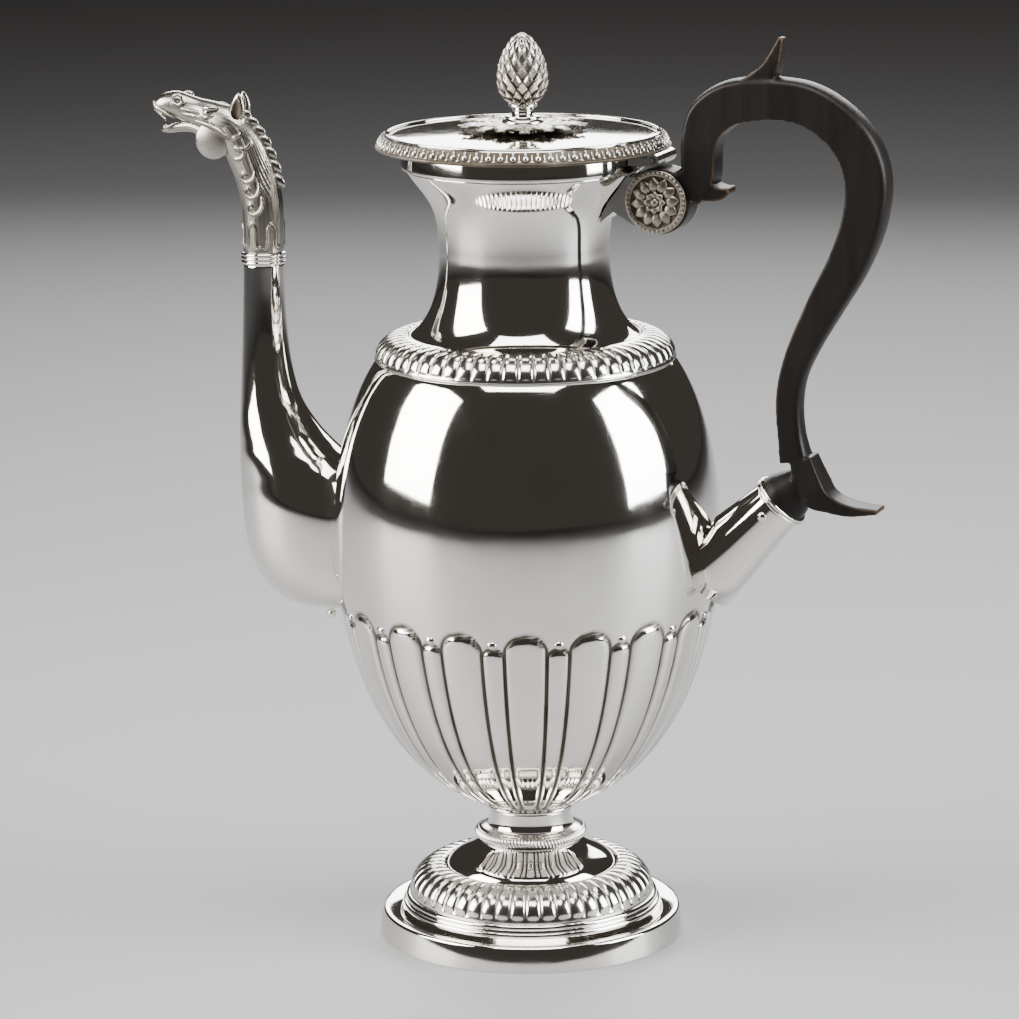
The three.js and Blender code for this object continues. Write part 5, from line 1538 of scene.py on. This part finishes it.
spool_section = [
    (0, spool_low - 0.4), (5.9, spool_low - 0.4), *bulge(5.9, spool_low - 0.2, spool_low + 1.2, 0.5, 6),
    (3.7, spool_low + 1.5), (3.2, spool_low + 2.6), (3.6, spool_top - 1.3),
    *bulge(4.8, spool_top - 1.1, spool_top, 0.5, 6), (0, spool_top + 0.2),
]
polished(spun("finial_waist", spool_section, 64), "lid", "finial_spool")

# %% [markdown]
# The pinecone's scales follow a rule too. Two families of lines wind round it in opposite directions and cut
# it into diamonds. Inside a diamond the surface rises towards its two upper edges, and then drops to the
# next one, so that each scale seems to lie under the one below. The mark on the mesh is the way up it.

# %% A tree for scales


def scales_tree():
    tree, start = new_tree("scales_on_cone", [
        ("Axis X", "Float"), ("Around", "Float"), ("Rows", "Float"), ("Depth", "Float"),
        ("Material", "Material"),
    ])
    value, (x, y, z), way_up = shape_inputs(tree, start)
    turn = y.angle_from(x - value["Axis X"]) * value["Around"] / math.tau
    climb = way_up * value["Rows"]
    right, left = (climb + turn).step("FRACT"), (climb - turn).step("FRACT")
    edge = right.at_least(left)
    rise = (right + left) * 0.2 + (edge ** 5.0) * 0.6
    # Painted shade and tarnish: each scale is darkened at its low end, where it lies under the one below.
    hollow = (1.0 - right * 5.0).at_least(1.0 - left * 5.0).at_least(0.0)
    top = ((1.0 - way_up) * 9.0).at_most(1.0) * (way_up * 30.0).at_most(1.0)
    groove = (hollow * 2.4 + (1.0 - edge) * 0.5) * top
    return raised_tree(tree, start, (rise - 0.5) * value["Depth"] * top, groove)


# %% Finial: pinecone
cone_low, cone_top = heights("finial_pinecone")
CONE_RADIUS = radius_of("finial_pinecone")
CONE_STEPS = 150
SCALES_AROUND, SCALE_ROWS = 13, 5
cone_widest = (CONE_RADIUS, cone_low + 9)
cone_lower = bend(
    (3.4, cone_low), (6.4, cone_low + 1.6), (CONE_RADIUS + 0.4, cone_low + 4.5), cone_widest, 30,
)
cone_upper = bend(
    cone_widest, (CONE_RADIUS - 0.2, cone_low + 15), (3.6, cone_top - 1.6), (0.4, cone_top - 0.3), 40,
)
cone_curve = evenly([*cone_lower, *cone_upper[1:]], CONE_STEPS)
cone_section = [(0, cone_low), *cone_curve, (0, cone_top - 0.2)]
cone_marks = [0, *[(i / CONE_STEPS) ** 1.15 for i in range(CONE_STEPS + 1)], 1]
cone_base = spun("cone_base", cone_section, SCALES_AROUND * 14, marks=cone_marks)
cone = grown(
    "pinecone", cone_base, scales_tree(), axis_x=AXIS_X * MM, around=float(SCALES_AROUND),
    rows=float(SCALE_ROWS), depth=1.5 * MM, material=SHADED_CAST,
)
finished(cone, "lid", "cast_silver", DULL, "finial_pinecone")

# %% [markdown]
# The pieces of the mount, the hinge and the stud already have their shape in the CAD, so they stay and only
# get their finish.

# %% CAD pieces that stay
for name in ("handle_upper_mount", "handle_upper_pin", "hinge_fixed_leaf", "hinge_pin", "lid_hinge_knuckle",
             "finial_stud", "finial_nut"):
    kept_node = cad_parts[name]
    kept_node.data.materials.clear()
    kept_node.data.materials.append(POLISHED)

# %% [markdown]
# Silver shows the room more than itself, so the light is the look. A pale floor lies under the pot, the
# surroundings are dim, and large soft boxes at the sides and overhead give it long bright edges.

# %% Floor and light


def plain_floor():
    material = bpy.data.materials.new("pale_floor")
    material.use_nodes = True
    tree = material.node_tree
    shader = tree.nodes["Principled BSDF"]
    shader.inputs["Roughness"].default_value = 0.6
    linked(tree, mix_colours(tree, noise_term(tree, 3.0), (0.265, 0.265, 0.27), (0.295, 0.295, 0.30)),
           shader.inputs["Base Color"])
    size = 4000
    corners = [(-size, -size, 0), (size, -size, 0), (size, size, 0), (-size, size, 0)]
    floor = new_piece("floor", corners, [(0, 1, 2, 3)])
    floor.data.materials.append(material)


def soft_box(name, azimuth, elevation, distance, width, height, watts, colour=(1, 1, 1)):
    """An area light at a direction from the pot's middle, seen from above the floor, facing the pot."""
    light = bpy.data.lights.new(name, "AREA")
    light.shape = "RECTANGLE"
    light.size, light.size_y = width, height
    light.energy = watts
    light.color = colour
    light.spread = math.radians(130)
    lamp = in_scene(name, light)
    a, e = math.radians(azimuth), math.radians(elevation)
    away = Vector((math.sin(a) * math.cos(e), -math.cos(a) * math.cos(e), math.sin(e)))
    lamp.location = Vector((AXIS_X * MM, 0, 0.16)) + away * distance
    lamp.rotation_euler = away.to_track_quat("Z", "Y").to_euler()


plain_floor()
soft_box("left_box", -56, 24, 1.5, 1.0, 1.15, 34, (1.0, 0.98, 0.95))
soft_box("right_box", 98, 22, 1.5, 0.9, 1.15, 30, (0.96, 0.98, 1.0))
soft_box("top_box", 15, 78, 1.4, 1.0, 1.0, 16)
soft_box("back_box", 195, 24, 1.8, 1.4, 0.7, 14)

world = bpy.data.worlds.new("dim_room")
world.use_nodes = True
world.node_tree.nodes["Background"].inputs["Color"].default_value = (0.047, 0.042, 0.038, 1)
world.node_tree.nodes["Background"].inputs["Strength"].default_value = 1.0
bpy.context.scene.world = world
bpy.context.scene.view_settings.view_transform = "AgX"
